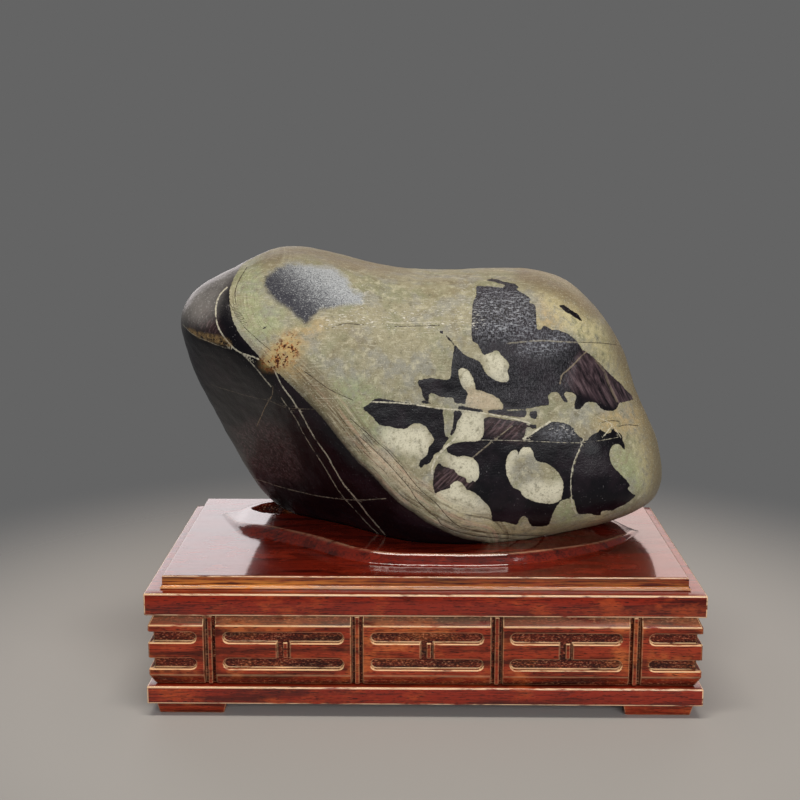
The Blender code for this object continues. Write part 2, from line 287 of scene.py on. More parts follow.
def subdivide(piece: bpy.types.Object, kind: str, chosen: np.ndarray, cuts: int) -> None:
    """Divides some of a piece's edges or faces.

    Args:
        piece: The piece.
        kind: "EDGE" or "FACE", for what is chosen.
        chosen: Whether each edge or face of the piece is divided.
        cuts: How many cuts go across each edge.
    """
    with editing(piece):
        bpy.ops.mesh.select_mode(type=kind)
    elements = piece.data.edges if kind == "EDGE" else piece.data.polygons
    elements.foreach_set("select", chosen)
    bpy.ops.object.mode_set(mode="EDIT")
    bpy.ops.mesh.subdivide(number_cuts=cuts)
    bpy.ops.object.mode_set(mode="OBJECT")


def smooth_below(piece: bpy.types.Object, degrees: float) -> None:
    """Shades a piece smooth, but for the edges that turn by more than an angle."""
    piece.data.shade_smooth()
    select_only(piece)
    bpy.ops.object.shade_smooth_by_angle(angle=math.radians(degrees))


def triples(elements: Any, attribute: str = "co") -> np.ndarray:
    """Reads a three-part property of a mesh's vertices or faces, one of them to a row."""
    values = np.empty(3 * len(elements), np.float32)
    elements.foreach_get(attribute, values)
    return values.reshape(-1, 3).astype(float)


def write_places(mesh: bpy.types.Mesh, places: np.ndarray) -> None:
    """Puts a mesh's vertices at new places, in metres."""
    mesh.vertices.foreach_set("co", np.ascontiguousarray(places, np.float32).ravel())
    mesh.update()


def write_values(mesh: bpy.types.Mesh, name: str, values: np.ndarray,
                 domain: str = "POINT") -> None:
    """Stores one number for each vertex or face as a named attribute."""
    made = mesh.attributes.new(name, "FLOAT", domain)
    made.data.foreach_set("value", np.ascontiguousarray(values, np.float32))


def smooth_step(low: float, high: float, values: np.ndarray) -> np.ndarray:
    """Rises smoothly from 0 at low to 1 at high."""
    share = np.clip((values - low) / (high - low), 0, 1)
    return share * share * (3 - 2 * share)


def curve_through(knots: Sequence, count: int) -> np.ndarray:
    """Draws a Catmull-Rom curve through knots.

    Args:
        knots: The points that the curve passes through.
        count: How many evenly timed points to give.

    Returns:
        The curve's points, one to a row.
    """
    knots = np.array(knots, float)
    padded = np.vstack([2 * knots[0] - knots[1], knots, 2 * knots[-1] - knots[-2]])
    times = np.linspace(0, len(knots) - 1, count)
    first = np.minimum(times.astype(int), len(knots) - 2)
    u = (times - first)[:, None]
    a, b, c, d = (padded[first + i] for i in range(4))
    bend = (2 * a - 5 * b + 4 * c - d) * u**2 + (3 * b - a - 3 * c + d) * u**3
    return 0.5 * (2 * b + (c - a) * u + bend)


def line_offsets(points: np.ndarray,
                 lines: Sequence[np.ndarray]) -> tuple[np.ndarray, np.ndarray, np.ndarray]:
    """Measures points from the nearest of several open lines.

    Args:
        points: The points, one to a row.
        lines: Each line's points, one to a row.

    Returns:
        The distance from the nearest line, the same signed by the side of the line, and how
        far along that line each point lies.
    """
    near = np.full(len(points), np.inf)
    side, reached = np.zeros(len(points)), np.zeros(len(points))
    for line in lines:
        passed = 0.0
        for start, end in zip(line[:-1], line[1:]):
            run = end - start
            length = math.hypot(*run)
            if length == 0:
                continue
            along = np.clip((points - start) @ run / length**2, 0, 1)
            off = points - start - along[:, None] * run
            gap = np.hypot(off[:, 0], off[:, 1])
            closer = gap < near
            across = (run[0] * off[:, 1] - run[1] * off[:, 0]) / length
            near = np.where(closer, gap, near)
            side = np.where(closer, across, side)
            reached = np.where(closer, passed + along * length, reached)
            passed += length
    return near, side, reached


def depth_inside(points: np.ndarray, outline: np.ndarray, margin: float) -> np.ndarray:
    """Measures how far inside a closed outline points lie, negative outside it.

    Args:
        points: The points, one to a row.
        outline: The outline's points, the last one the same as the first.
        margin: The farthest distance outside that is measured.

    Returns:
        Each point's depth, and minus the margin farther out.
    """
    depth = np.full(len(points), -margin)
    low, high = outline.min(axis=0) - margin, outline.max(axis=0) + margin
    close = np.flatnonzero(((points > low) & (points < high)).all(axis=1))
    x, y = points[close].T
    inside = np.zeros(len(close), bool)
    for (x0, y0), (x1, y1) in zip(outline[:-1], outline[1:]):
        if y0 != y1:
            crossing = x0 + (y - y0) * (x1 - x0) / (y1 - y0)
            inside ^= ((y0 > y) != (y1 > y)) & (x < crossing)
    gap, *_ = line_offsets(points[close], [outline])
    depth[close] = np.where(inside, gap, -np.minimum(gap, margin))
    return depth


@dataclass(frozen=True)
class Eye:
    """The camera, and what it sees of points in the model."""

    place: tuple[float, float, float] = (-5.4, -893.5, 362.4)
    pitch: float = 10.92
    yaw: float = -0.756
    lens: float = 58.5
    sensor: float = 36.0
    picture: float = 800.0

    def axes(self) -> np.ndarray:
        """Gives the directions to the right, up and forward, one to a row."""
        c, s = math.cos(math.radians(self.yaw)), math.sin(math.radians(self.yaw))
        cp, sp = math.cos(math.radians(self.pitch)), math.sin(math.radians(self.pitch))
        return np.array([(c, -s, 0.0), (sp * s, sp * c, cp), (cp * s, cp * c, -sp)])

    def pixels(self, points: np.ndarray) -> tuple[np.ndarray, np.ndarray]:
        """Finds where points in millimetres fall in the picture.

        Args:
            points: The points, one to a row.

        Returns:
            Their picture points, and the millimetres that a pixel spans at each.
        """
        seen = (points - np.array(self.place)) @ self.axes().T
        scale = self.picture * self.lens / self.sensor / seen[:, 2]
        middle = self.picture / 2
        across, down = middle + seen[:, 0] * scale, middle - seen[:, 1] * scale
        return np.stack([across, down], axis=1), 1 / scale

    def facing(self, places: np.ndarray, normals: np.ndarray) -> np.ndarray:
        """Gives how squarely surfaces face the eye, from 1 straight at it to -1 straight away."""
        towards = np.array(self.place) - places
        towards /= np.linalg.norm(towards, axis=1)[:, None]
        return (normals * towards).sum(axis=1)

    def build(self) -> None:
        """Makes the scene's camera."""
        data = bpy.data.cameras.new("eye")
        data.lens = self.lens
        data.sensor_width = self.sensor
        camera = bpy.data.objects.new("eye", data)
        camera.location = Vector(self.place) * MM
        camera.rotation_euler = (math.radians(90 - self.pitch), 0, math.radians(-self.yaw))
        bpy.context.scene.collection.objects.link(camera)
        bpy.context.scene.camera = camera


@dataclass(frozen=True)
class StonePattern:
    """The stone's colour fields and lines, as picture points, and what they give each vertex."""

    dark_fields: dict[str, Points] = field(default_factory=lambda: {
        "upper patch": (
            (476, 285), (491, 286), (502, 287), (507, 284.5), (514.6, 283.4), (518.7, 286.3), (517, 288.6),
            (522, 292.6), (527, 295.7), (530.7, 299.3), (529.4, 302.4), (534.3, 304.2), (535.6, 308),
            (536.5, 315.4), (536.8, 327), (540, 330), (544.5, 325.4), (551.6, 329.5), (559, 330.4),
            (569.5, 334.8), (575.7, 339.7), (580, 345.5), (583, 350.4), (587, 351.8), (595.4, 359),
            (602.5, 366), (611.4, 375), (620.4, 383), (626.6, 390), (633.8, 399), (620.4, 402.7),
            (617.7, 407), (615, 410.3), (609.6, 410.7), (602.5, 409.4), (599, 405.4), (595.4, 402.7),
            (590, 401.8), (585.5, 403), (583, 406.3), (580, 409), (575.7, 409), (574.4, 404.5),
            (576.6, 397.3), (574.8, 394), (570.4, 392.4), (566, 392), (564, 394.6), (566, 398),
            (568, 402), (564, 401.8), (561.4, 397.3), (558, 393), (553.4, 392), (549.4, 393.8),
            (548.5, 398), (549, 405), (541.7, 406), (526.8, 408.8), (514, 409.4), (503.8, 409.4),
            (503, 404.8), (499, 399), (491, 394.4), (482, 391), (476.3, 389.8), (475, 384.7),
            (472.8, 378.4), (469.4, 371.5), (464.8, 368.6), (459.6, 368.6), (458.5, 372.6), (460, 380.7),
            (463, 387.6), (468, 393.3), (466, 399), (465.3, 404), (460, 403.6), (454.4, 402.5),
            (453.3, 398), (446.4, 397.3), (440.7, 396.7), (432.6, 393.3), (429, 394.4), (428.8, 400),
            (424.3, 399.8), (421.4, 389.8), (417.3, 381.5), (423, 379.5), (430.7, 378), (439.6, 379),
            (449.5, 379), (451.3, 368), (453, 355.7), (454, 346), (450.6, 341.4), (446, 336.6),
            (447.4, 335.6), (457.5, 347.7), (466.4, 355.7), (479, 361), (484.3, 370), (488, 375.4), (498.6, 381.6),
            (507.5, 381.6), (509.3, 377), (507.5, 371.8), (509.3, 366.4), (507.5, 361), (502, 355.7),
            (496.8, 350.4), (489.6, 353), (485, 354.6), (482.5, 353), (478, 344.8), (471.8, 338.6),
            (471.8, 320), (472.7, 304), (476, 295),
        ),
        "upper strip": (
            (486, 279.2), (490.5, 278.2), (494, 277.8), (498.6, 279.2), (503, 281.2), (507.5, 282),
            (514.6, 283.4), (509, 285), (500.4, 283.4), (496, 282), (493, 280.6), (488, 280.2),
        ),
        "sliver": (
            (559, 305.4), (563.7, 304.5), (566.8, 307), (572, 310.3), (577.5, 313.4), (582.4, 320),
            (582, 321.4), (577.5, 319), (571.3, 314.7), (566, 311.6), (561.4, 308),
        ),
        "left wedge": (
            (360, 406), (364, 406.8), (368, 405), (372, 401), (376.8, 398.3), (385.7, 399.2),
            (394.6, 401), (403.6, 402.3), (412.5, 404), (421.4, 405.4), (430.4, 407.7), (442.4, 409),
            (443, 414), (443.8, 420), (444.6, 424.6), (444.6, 431), (446, 436.3), (448.7, 437),
            (448, 439.8), (444.6, 444.3), (442, 448.8), (438.4, 452.3), (434, 455), (432, 460.4),
            (427.7, 464.4), (424, 464.8), (421, 469.3), (419.6, 468.4), (419.2, 464), (420.5, 460.4),
            (425, 456.8), (427.7, 453), (428.6, 448), (432, 443.8), (434, 440.7), (432.6, 435.4),
            (428.6, 431), (426, 427), (421.4, 424), (416, 423.3), (410.7, 424.6), (408, 427.8),
            (403.6, 429), (398, 428.7), (392, 427), (385.7, 426), (379.5, 424.6), (375, 420),
            (371.4, 415.7), (367, 412), (363.4, 409),
        ),
        "slab over the wedge": ((421.5, 400.8), (430.5, 402.3), (430.8, 404), (422.5, 403)),
        "triangle": (
            (454, 410.8), (461.6, 411.7), (461, 416.6), (457.6, 421), (456.3, 426.4), (454.5, 432.7),
            (451, 435.4), (449.6, 434.5), (451.8, 430), (453, 423.8), (453.6, 417.5),
        ),
        "left bar": (
            (458, 406), (468, 407), (477.4, 408.8), (482.6, 409.6), (482, 412.8), (471.7, 411.3),
            (466, 410), (458, 409.4),
        ),
        "right bar": (
            (487.7, 410), (500.4, 409.6), (511.8, 411), (523.3, 410), (526.8, 411), (526, 416.3),
            (520, 417.4), (514, 416.8), (508.4, 416.3), (500.4, 415), (491, 413.4), (487.7, 412.2),
        ),
        "last bar": ((530, 411.7), (536.5, 411), (536.5, 418.5), (532.5, 418.5), (530, 416.3)),
        "smudge": ((529, 424.7), (536, 424.9), (535.4, 428.7), (530, 428.4)),
        "middle": (
            (483.5, 419.5), (487, 417), (495, 417), (503, 419), (514.4, 420.7), (526, 421.8),
            (527.6, 424), (526, 430), (524, 436.7), (522.5, 440.5), (527, 438), (535, 432),
            (543, 426.5), (549, 423), (553.5, 421.8), (560.4, 422.4), (567, 424), (573, 427.6),
            (575.3, 432), (580, 436.7), (583.3, 439.6), (580, 448), (576.4, 455), (573, 465.4),
            (570.7, 474.6), (570, 482.7), (570.7, 492), (571, 499.5), (566, 499.3), (560.4, 502),
            (554.6, 510), (551, 519.4), (549, 525), (544.3, 527), (534, 527.4), (529.4, 524),
            (528, 519.4), (524.8, 516.5), (520, 519.4), (516.7, 525.7), (509.8, 523.4), (501.8, 522.3),
            (492.6, 521.7), (491.5, 513.6), (489, 506.8), (483.5, 501), (478.4, 496), (473.3, 492),
            (467, 490), (465, 487), (461, 482.3), (456, 481), (450.8, 485), (449.8, 488.5),
            (440.6, 491), (435.3, 493.5), (433, 486), (433, 478.8), (434.5, 470.6), (439.6, 461.4),
            (441.6, 465.5), (447.8, 467.8), (454, 469.6), (457, 473.7), (462, 476.7), (465.6, 477.8),
            (466.6, 482.3), (469.7, 483), (471.7, 480.8), (475.3, 481.8), (478.4, 477.8), (479.4, 470.6),
            (478.4, 464.5), (475.3, 460.4), (470, 457.3), (464, 455.8), (458, 456.8), (454, 455.3),
            (448.8, 453.3), (446.7, 448.7), (449.8, 445), (455, 443), (462, 442), (475, 441.6),
            (480.4, 439.8), (483, 435.4), (484.4, 430), (484, 424.6),
        ),
        "right lobe": (
            (584, 441.3), (588, 440), (590, 436.7), (594.8, 433.3), (599.4, 431), (600, 428),
            (601.7, 430.4), (604.6, 432), (607.4, 433.3), (611, 432.7), (612, 428.7), (614.3, 429.3),
            (616.6, 432), (620, 433.3), (622.3, 436.7), (623.5, 442.5), (625, 446), (624, 449.4),
            (621, 446), (617.8, 444), (613, 445.3), (610.3, 449.4), (609.7, 455), (611, 462),
            (613.7, 467), (617.8, 470.6), (622.3, 475.8), (627, 480.4), (630.4, 485.5), (628, 488.4),
            (632.7, 494), (635.5, 494.7), (635, 497), (630.4, 501), (624.6, 505), (617.8, 508),
            (612, 511.4), (608.6, 510.8), (601.7, 511.4), (600.5, 516), (594.8, 515.4), (588, 514),
            (580, 514.8), (577, 512.5), (575.3, 506.8), (574, 500), (571.8, 492), (571.6, 482.7),
            (572.4, 474.6), (575.3, 464.3), (578.7, 454), (581, 448),
        ),
        "dot on the crease": ((440, 330.4), (442.6, 330.4), (443, 333), (440.2, 333)),
        "dot on the lobe": ((262.6, 325), (266, 326), (265.6, 329.4), (263, 328.6)),
    })
    island: Points = (
        (507.6, 456.3), (511, 451.7), (514.4, 450), (517.3, 451.7), (518.5, 456.3), (519.6, 451.7),
        (522.5, 448), (527, 447), (530.5, 448), (533.4, 452.8), (534.5, 457.4), (537.4, 461.4),
        (544.3, 462.6), (550, 465.4), (555.8, 470), (560.4, 475.8), (563, 481.5), (563, 489.5),
        (561.5, 497.6), (558, 502), (551, 504), (542, 503.3), (534, 501.6), (527, 498.7),
        (522.5, 495.3), (520, 490.7), (514.4, 488.4), (511, 483.8), (507.6, 477), (506, 469),
        (506.4, 462),
    )
    # Where the olive skin ends and the dark body starts, from the top of the stone to its foot.
    body_edge: Points = (
        (264.8, 250.6), (241.8, 264), (234, 277.4), (229.4, 289), (229.4, 304), (232.3, 319.5),
        (240, 334.8), (251.4, 348), (263, 361.6), (272.4, 370), (280, 375), (295.4, 390), (309, 404),
        (322, 417.5), (333.7, 432.5), (347, 449.7), (358.5, 463), (370, 472.7), (380, 484), (390, 495),
        (400.6, 505), (414, 513.5), (427.4, 523), (446.7, 533), (462, 539), (482, 542),
    )
    body_far_side: Points = ((482, 640), (80, 640), (80, 180), (255, 180))
    # The frosted patch, whose pale colour is a painted sheen.
    frost_sheen: Points = (
        (264.8, 275.5), (272.4, 269.7), (284, 265), (295.4, 264), (310.7, 265), (322, 267),
        (331.7, 267.8), (341.3, 273.6), (347, 281), (352.8, 290.8), (362.4, 294.6), (361.4, 302.3),
        (351, 304), (337.5, 307), (326, 309), (316.4, 313.7), (311.7, 319.5), (306, 325.8),
        (299, 319.5), (291.6, 311.8), (284, 306), (276.3, 302.3), (272.4, 296.5), (266.7, 292.7),
        (263.8, 285),
    )
    # Stains and tints, with painted sheens, glints and rim light: their outlines, and how softly they fade in, in
    # millimetres.
    tints: dict[str, tuple[float, tuple[Points, ...]]] = field(default_factory=lambda: {
        "rust": (9.0, (
            ((262, 362), (270, 352), (280, 342), (290, 334), (296, 338), (298, 350), (292, 360),
             (284, 366), (274, 369), (264, 368)),
        )),
        "halo": (13.0, (
            ((258, 356), (272, 338), (296, 328), (318, 318), (326, 328), (308, 344), (300, 362),
             (302, 376), (288, 376), (268, 370)),
            ((600, 415), (625, 408), (640, 418), (632, 432), (610, 436), (598, 428)),
            ((540, 300), (560, 322), (556, 334), (540, 326)),
        )),
        "wedge": (1.6, (
            ((187, 327), (199, 332), (212, 335), (222, 337), (229, 341), (232, 347), (222, 344.5),
             (209, 341.5), (198, 337), (191, 332)),
        )),
        # Painted sheen on the dark shoulder at the upper left.
        "shoulder_sheen": (14.0, (
            ((176, 322), (176, 296), (196, 274), (225, 256), (262, 240), (242, 268), (230, 280),
             (222, 290), (216, 308), (206, 322), (192, 324)),
        )),
        "smoke": (10.0, (
            ((190, 318), (206, 306), (216, 322), (220, 336), (208, 333), (192, 328)),
            ((232, 430), (262, 420), (290, 440), (300, 480), (270, 478), (244, 462)),
            ((434, 470), (468, 470), (470, 486), (450, 486), (434, 493)),
            ((486, 416), (526, 422), (524, 440), (500, 436), (486, 430)),
        )),
        "pale": (7.0, (
            ((436, 494), (452, 480), (462, 484), (468, 494), (484, 504), (492, 520), (478, 524),
             (456, 516), (440, 508)),
            ((444, 455), (470, 458), (480, 466), (476, 480), (466, 478), (452, 468)),
            ((462, 414), (482, 414), (482, 440), (456, 440), (458, 426)),
            ((505, 462), (514, 449), (530, 446), (532, 452), (518, 456), (511, 466), (512, 482),
             (507, 478)),
            ((488, 352), (502, 356), (508, 370), (507, 381), (492, 376), (485, 358)),
            ((382, 428), (420, 428), (430, 440), (426, 454), (400, 452), (380, 440)),
            ((518, 490), (534, 480), (548, 484), (562, 482), (562, 498), (546, 505), (528, 500)),
            ((458, 366), (468, 368), (474, 382), (464, 386)),
        )),
        "blush": (6.0, (
            ((468, 388), (482, 390), (498, 400), (502, 410), (470, 408), (466, 396)),
            ((366, 446), (384, 452), (414, 480), (420, 500), (396, 484), (372, 464)),
        )),
        "brown": (14.0, (
            ((262, 254), (300, 243), (345, 254), (400, 264), (400, 270), (345, 264), (300, 256),
             (264, 266)),
            ((520, 266), (560, 280), (604, 312), (588, 318), (548, 294), (516, 280)),
            ((284, 366), (306, 362), (330, 388), (352, 424), (372, 452), (360, 456), (334, 428),
             (306, 398)),
            ((600, 300), (640, 360), (668, 440), (668, 500), (630, 528), (560, 548), (640, 505),
             (648, 470), (636, 420), (614, 360)),
            ((480, 548), (540, 546), (600, 530), (640, 508), (640, 540), (480, 560)),
        )),
        "green": (14.0, (
            ((236, 276), (262, 262), (262, 300), (280, 312), (276, 344), (252, 340), (236, 318)),
            ((552, 508), (572, 500), (576, 516), (590, 520), (560, 530)),
            ((612, 446), (630, 450), (644, 480), (636, 490), (616, 470)),
            ((330, 380), (372, 384), (384, 440), (360, 430), (336, 410)),
        )),
        "grain": (6.0, (
            ((472, 284), (530, 284), (580, 340), (560, 400), (500, 400), (450, 350)),
            ((262, 262), (366, 262), (368, 330), (300, 330), (262, 300)),
            ((400, 316), (470, 316), (476, 336), (400, 336)),
        )),
        # Painted glints on the crown, along the crease and on the dome.
        "painted glints": (8.0, (
            ((350, 288), (366, 286), (374, 304), (400, 308), (430, 300), (470, 306), (474, 330),
             (330, 330), (318, 320), (352, 306)),
            ((458, 276), (474, 280), (472, 318), (460, 318)),
            ((549, 430), (558, 425), (572, 429), (575, 434), (560, 432)),
        )),
        "sheen": (12.0, (
            ((474, 286), (520, 290), (538, 318), (538, 334), (500, 338), (474, 334)),
            ((536, 334), (566, 336), (560, 352), (520, 352)),
            ((547, 435), (554, 426), (566, 427), (573, 435), (561, 439)),
        )),
        "shade": (5.0, (
            ((583, 350), (600, 364), (634, 398), (614, 406), (590, 396), (566, 388), (568, 370)),
        )),
        "rim light": (14.0, (
            ((632, 400), (652, 420), (664, 470), (650, 500), (640, 480), (636, 440)),
            ((540, 290), (580, 300), (612, 340), (634, 384), (620, 384), (590, 350), (560, 326)),
            ((440, 500), (500, 522), (560, 528), (600, 514), (600, 524), (540, 540), (470, 530)),
        )),
    })
    # Pale veins, and painted highlights along the crease drawn as veins: width in millimetres, how tan and how
    # strong they are from 0 to 1, and their points.
    veins: tuple[tuple[float, float, float, Points], ...] = (
        (1.3, 0.0, 0.9, ((225.6, 288), (219.8, 294.6), (216, 304), (215.6, 315.7), (218, 327),
                         (223.7, 336.7), (232.3, 347), (241, 353), (253.3, 357), (257, 358.7))),
        (1.0, 0.0, 0.7, ((241, 353), (251.4, 363.5), (261, 375), (270.5, 387.4))),
        (0.8, 0.7, 0.75, ((272.4, 388.4), (271.5, 396), (264.8, 407.5), (257, 425))),
        (1.2, 0.1, 0.85, ((274.4, 371), (282, 386.4), (291.6, 400), (301, 415.3), (312.6, 436.3),
                          (328, 459.3), (341.3, 482.3), (356.6, 500.4), (370, 518.6), (383.4, 534))),
        (0.7, 0.2, 0.6, ((282, 400), (293.5, 417), (307, 442), (322, 465), (333.7, 484),
                         (345, 499.5), (358.5, 514.8), (370, 528), (379.6, 535.8))),
        (0.7, 0.3, 0.5, ((255, 479.4), (274.4, 486), (295.4, 491.8), (318.4, 496.6), (341.3, 499.5),
                         (360.4, 500.4), (383.4, 499.5))),
        (0.4, 0.5, 0.25, ((213, 385.5), (245.7, 396), (268.6, 400.8), (287.7, 408.6), (312.6, 409.6))),
        (1.3, 0.1, 0.95, ((373, 402), (394.6, 402.8), (414.3, 404.6), (439.3, 408.6), (458, 410),
                          (484.3, 413.4), (507, 417.4), (517.6, 419.7), (529, 423))),
        (0.4, 0.2, 0.6, ((480, 440.2), (503, 440.4), (523.6, 441), (549, 442), (567, 442.7),
                         (583.3, 442.7), (594.8, 441.3), (606, 439.6), (617.8, 437.3))),
        (1.2, 0.5, 0.5, ((511, 427), (503, 433.3), (491.5, 442.3), (480.4, 451.3), (473.3, 457.3))),
        (2.0, 0.0, 1.0, ((523.6, 439), (535, 431.5), (549, 422.5))),
        (1.4, 0.6, 0.6, ((586.4, 351.8), (581, 357), (574.8, 363.4), (568.6, 369.6), (562.3, 375),
                         (560.5, 382))),
        (1.6, 0.3, 0.4, ((509, 343), (540, 340.6), (558, 341.5), (579, 342.4))),
        (2.6, 0.6, 0.3, ((597, 361), (603, 369), (608, 380), (613, 391), (617, 400))),
        (0.8, 0.0, 0.75, ((583.5, 440), (579.9, 449), (576, 457), (573, 467), (571.2, 477), (571, 487),
                          (571.8, 500))),
        (0.8, 0.1, 0.6, ((571.8, 500), (573, 507), (576, 513))),
        (2.0, 0.1, 1.0, ((454.5, 439), (439.3, 454), (433, 465.7), (432, 473))),
        (0.9, 0.3, 0.7, ((600, 418), (612, 424), (620, 436))),
        (0.9, 0.0, 0.8, ((612, 426), (604, 436))),
        # These two are painted highlights along the crease, drawn as pale veins.
        (0.9, 0.0, 0.6, ((388, 322.4), (400, 323.3), (427.4, 322.3), (446.8, 321.7), (468, 322.4))),
        (0.7, 0.0, 0.6, ((331, 325), (342, 321.4), (356, 320.2))),
        (0.5, 0.2, 0.7, ((184, 326), (193, 334), (205, 340), (218, 345.5), (230, 349))),
    )
    # Dark lines in the olive skin, where its layers crop out or it has cracked.
    strata: tuple[Points, ...] = (
        ((350, 418.4), (359, 426.4), (370.5, 436.3), (379.5, 444.3), (387.5, 451.4), (394.6, 459.5),
         (403.6, 469.3), (410.7, 479), (416, 485.4), (425, 494.5), (436.5, 504.3), (446.7, 516.5),
         (457, 525.7), (467, 529.8), (482.4, 533), (510, 536), (545, 537)),
        ((360.7, 438), (369.6, 446), (390, 466), (409, 488), (416, 499), (426.3, 510.4), (436.5, 518.6),
         (443.7, 526.7), (470, 536), (520, 541)),
        ((333, 327), (345, 323.5), (362, 324.5)),
        ((396, 326.5), (420, 325.8), (438, 325)),
        ((305, 372), (316, 380), (330, 390), (352, 400)),
        ((228, 300), (240, 322), (258, 340), (270, 350)),
        ((246, 268), (236, 286), (236, 304), (246, 322)),
        ((604, 422), (611, 420.6), (618.6, 421)),
        ((620.4, 426), (628, 424.6), (637.3, 425.4)),
        ((580, 342.4), (600, 343), (616, 344.6)),
        ((556, 540), (590, 533), (620, 522), (646, 506)),
    )
    crease: Points = (
        (314.5, 334.8), (322, 329), (331.7, 325), (351, 321.4), (370, 322.4), (398.7, 324.3),
        (427.4, 323.3), (446.8, 322.7), (471.8, 325.4),
    )
    # How far fields are measured in millimetres, and depths outside an outline in pixels.
    field_reach: float = 20.0
    frost_reach: float = 8.0
    outside_reach: float = 40.0
    # How many points a curve has for each one that it is drawn through.
    curve_steps: int = 3
    crease_steps: int = 4
    # The frosted patch's painted sheen is palest at one picture point and falls off to a painted shade at the
    # other.
    frost_sheen_end: Place = (338, 272)
    frost_shade_end: Place = (296, 318)
    frost_shade_fall_limits: tuple[float, float] = (-0.5, 1.5)
    # How far from the body's edge its streaks set in and fade out, and the picture rows that
    # they set in over.
    band_start: tuple[float, float] = (-0.5, 1.5)
    band_fade: tuple[float, float] = (14.0, 26.0)
    low_rows: tuple[float, float] = (360, 430)
    # How strong the streaks stay above those rows.
    upper_streaks: float = 0.45
    # The pattern that faces the eye gives way to the shader's own round the stone's sides.
    facing_own: float = -0.12
    facing_picture: float = 0.08

    def drawn(self, line: Points) -> np.ndarray:
        """Rounds an open line into a curve through its points."""
        return curve_through(line, self.curve_steps * len(line))

    def depth(self, seen: np.ndarray, outlines: Sequence[Points]) -> np.ndarray:
        """Gives how deep picture points lie in any of some closed outlines, in pixels."""
        curves = [curve_through([*o, o[0]], self.curve_steps * len(o) + 1) for o in outlines]
        return np.max([depth_inside(seen, curve, self.outside_reach) for curve in curves], axis=0)

    def measure_veins(self, seen: np.ndarray, pixel: np.ndarray) -> dict[str, np.ndarray]:
        """Works out the fields of the nearest vein.

        Args:
            seen: The vertices' picture points.
            pixel: The millimetres that a pixel spans at each.

        Returns:
            The distance from the vein, which side of it a vertex is on, and the vein's own
            width, tan and strength.
        """
        near = np.full(len(seen), np.inf)
        keys = ("vein_side", "vein_width", "vein_tan", "vein_strength")
        fields = {key: np.zeros(len(seen)) for key in keys}
        for width, tan, strength, line in self.veins:
            reach, side, _ = line_offsets(seen, [self.drawn(line)])
            closer = reach < near
            near = np.where(closer, reach, near)
            for key, value in zip(keys, (side * pixel, width, tan, strength)):
                fields[key] = np.where(closer, value, fields[key])
        fields["vein_near"] = np.minimum(near * pixel, self.field_reach)
        return fields

    def measure_lines(self, seen: np.ndarray, pixel: np.ndarray) -> dict[str, np.ndarray]:
        """Works out the fields of the dark lines, the body's edge and the crease.

        Args:
            seen: The vertices' picture points.
            pixel: The millimetres that a pixel spans at each.

        Returns:
            The distances from each, and the places beside and along the body's edge.
        """
        strata = [self.drawn(line) for line in self.strata]
        strata_near, strata_side, _ = line_offsets(seen, strata)
        edge_near, edge_side, edge_along = line_offsets(seen, [self.drawn(self.body_edge)])
        crease = curve_through(self.crease, self.crease_steps * len(self.crease))
        crease_near, *_ = line_offsets(seen, [crease])
        edge_reach = np.minimum(edge_near * pixel, 2 * self.field_reach)
        return {
            "strata_near": np.minimum(strata_near * pixel, self.field_reach),
            "strata_side": strata_side * pixel,
            "edge_side": np.sign(edge_side) * edge_reach,
            "edge_along": edge_along * pixel,
            "crease_near": np.minimum(crease_near * pixel, self.field_reach),
        }

    def measure(self, places: np.ndarray, normals: np.ndarray, eye: Eye) -> dict[str, np.ndarray]:
        """Works out every field of the pattern at the stone's vertices.

        Args:
            places: The vertices in millimetres, one to a row.
            normals: Their normals.
            eye: The eye that the picture points belong to.

        Returns:
            A number for each vertex, by the field's name. Distances are in millimetres.
        """
        seen, pixel = eye.pixels(places)
        front = smooth_step(self.facing_own, self.facing_picture, eye.facing(places, normals))
        body = np.array([*self.body_edge, *self.body_far_side, self.body_edge[0]])
        dark = np.maximum(
            self.depth(seen, list(self.dark_fields.values())),
            depth_inside(seen, body, self.outside_reach))
        dark = np.minimum(dark, -self.depth(seen, [self.island])) * pixel
        frost_sheen = self.depth(seen, [self.frost_sheen]) * pixel
        frost_sheen = np.clip(frost_sheen, -self.frost_reach, self.frost_reach)
        fields = {
            "dark": np.clip(dark, -self.field_reach, self.field_reach),
            "own": 1 - front,
            "frost_sheen": frost_sheen * front - self.frost_reach * (1 - front),
            **self.measure_veins(seen, pixel),
            **self.measure_lines(seen, pixel),
        }
        for name, (softness, outlines) in self.tints.items():
            depth = self.depth(seen, outlines) * pixel
            fields[name] = front * smooth_step(-softness / 2, softness / 2, depth)
        away = -fields["edge_side"]
        low_down = front * smooth_step(*self.low_rows, seen[:, 1])
        band = smooth_step(*self.band_start, away) * (1 - smooth_step(*self.band_fade, away))
        streaks = self.upper_streaks + (1 - self.upper_streaks) * low_down
        fields.update({"low_down": low_down, "band": front * band * streaks})
        start, end = np.array(self.frost_sheen_end), np.array(self.frost_shade_end)
        fall = (seen - start) @ (end - start) / ((end - start) @ (end - start))
        fields["frost_shade_fall"] = np.clip(fall, *self.frost_shade_fall_limits)
        return fields


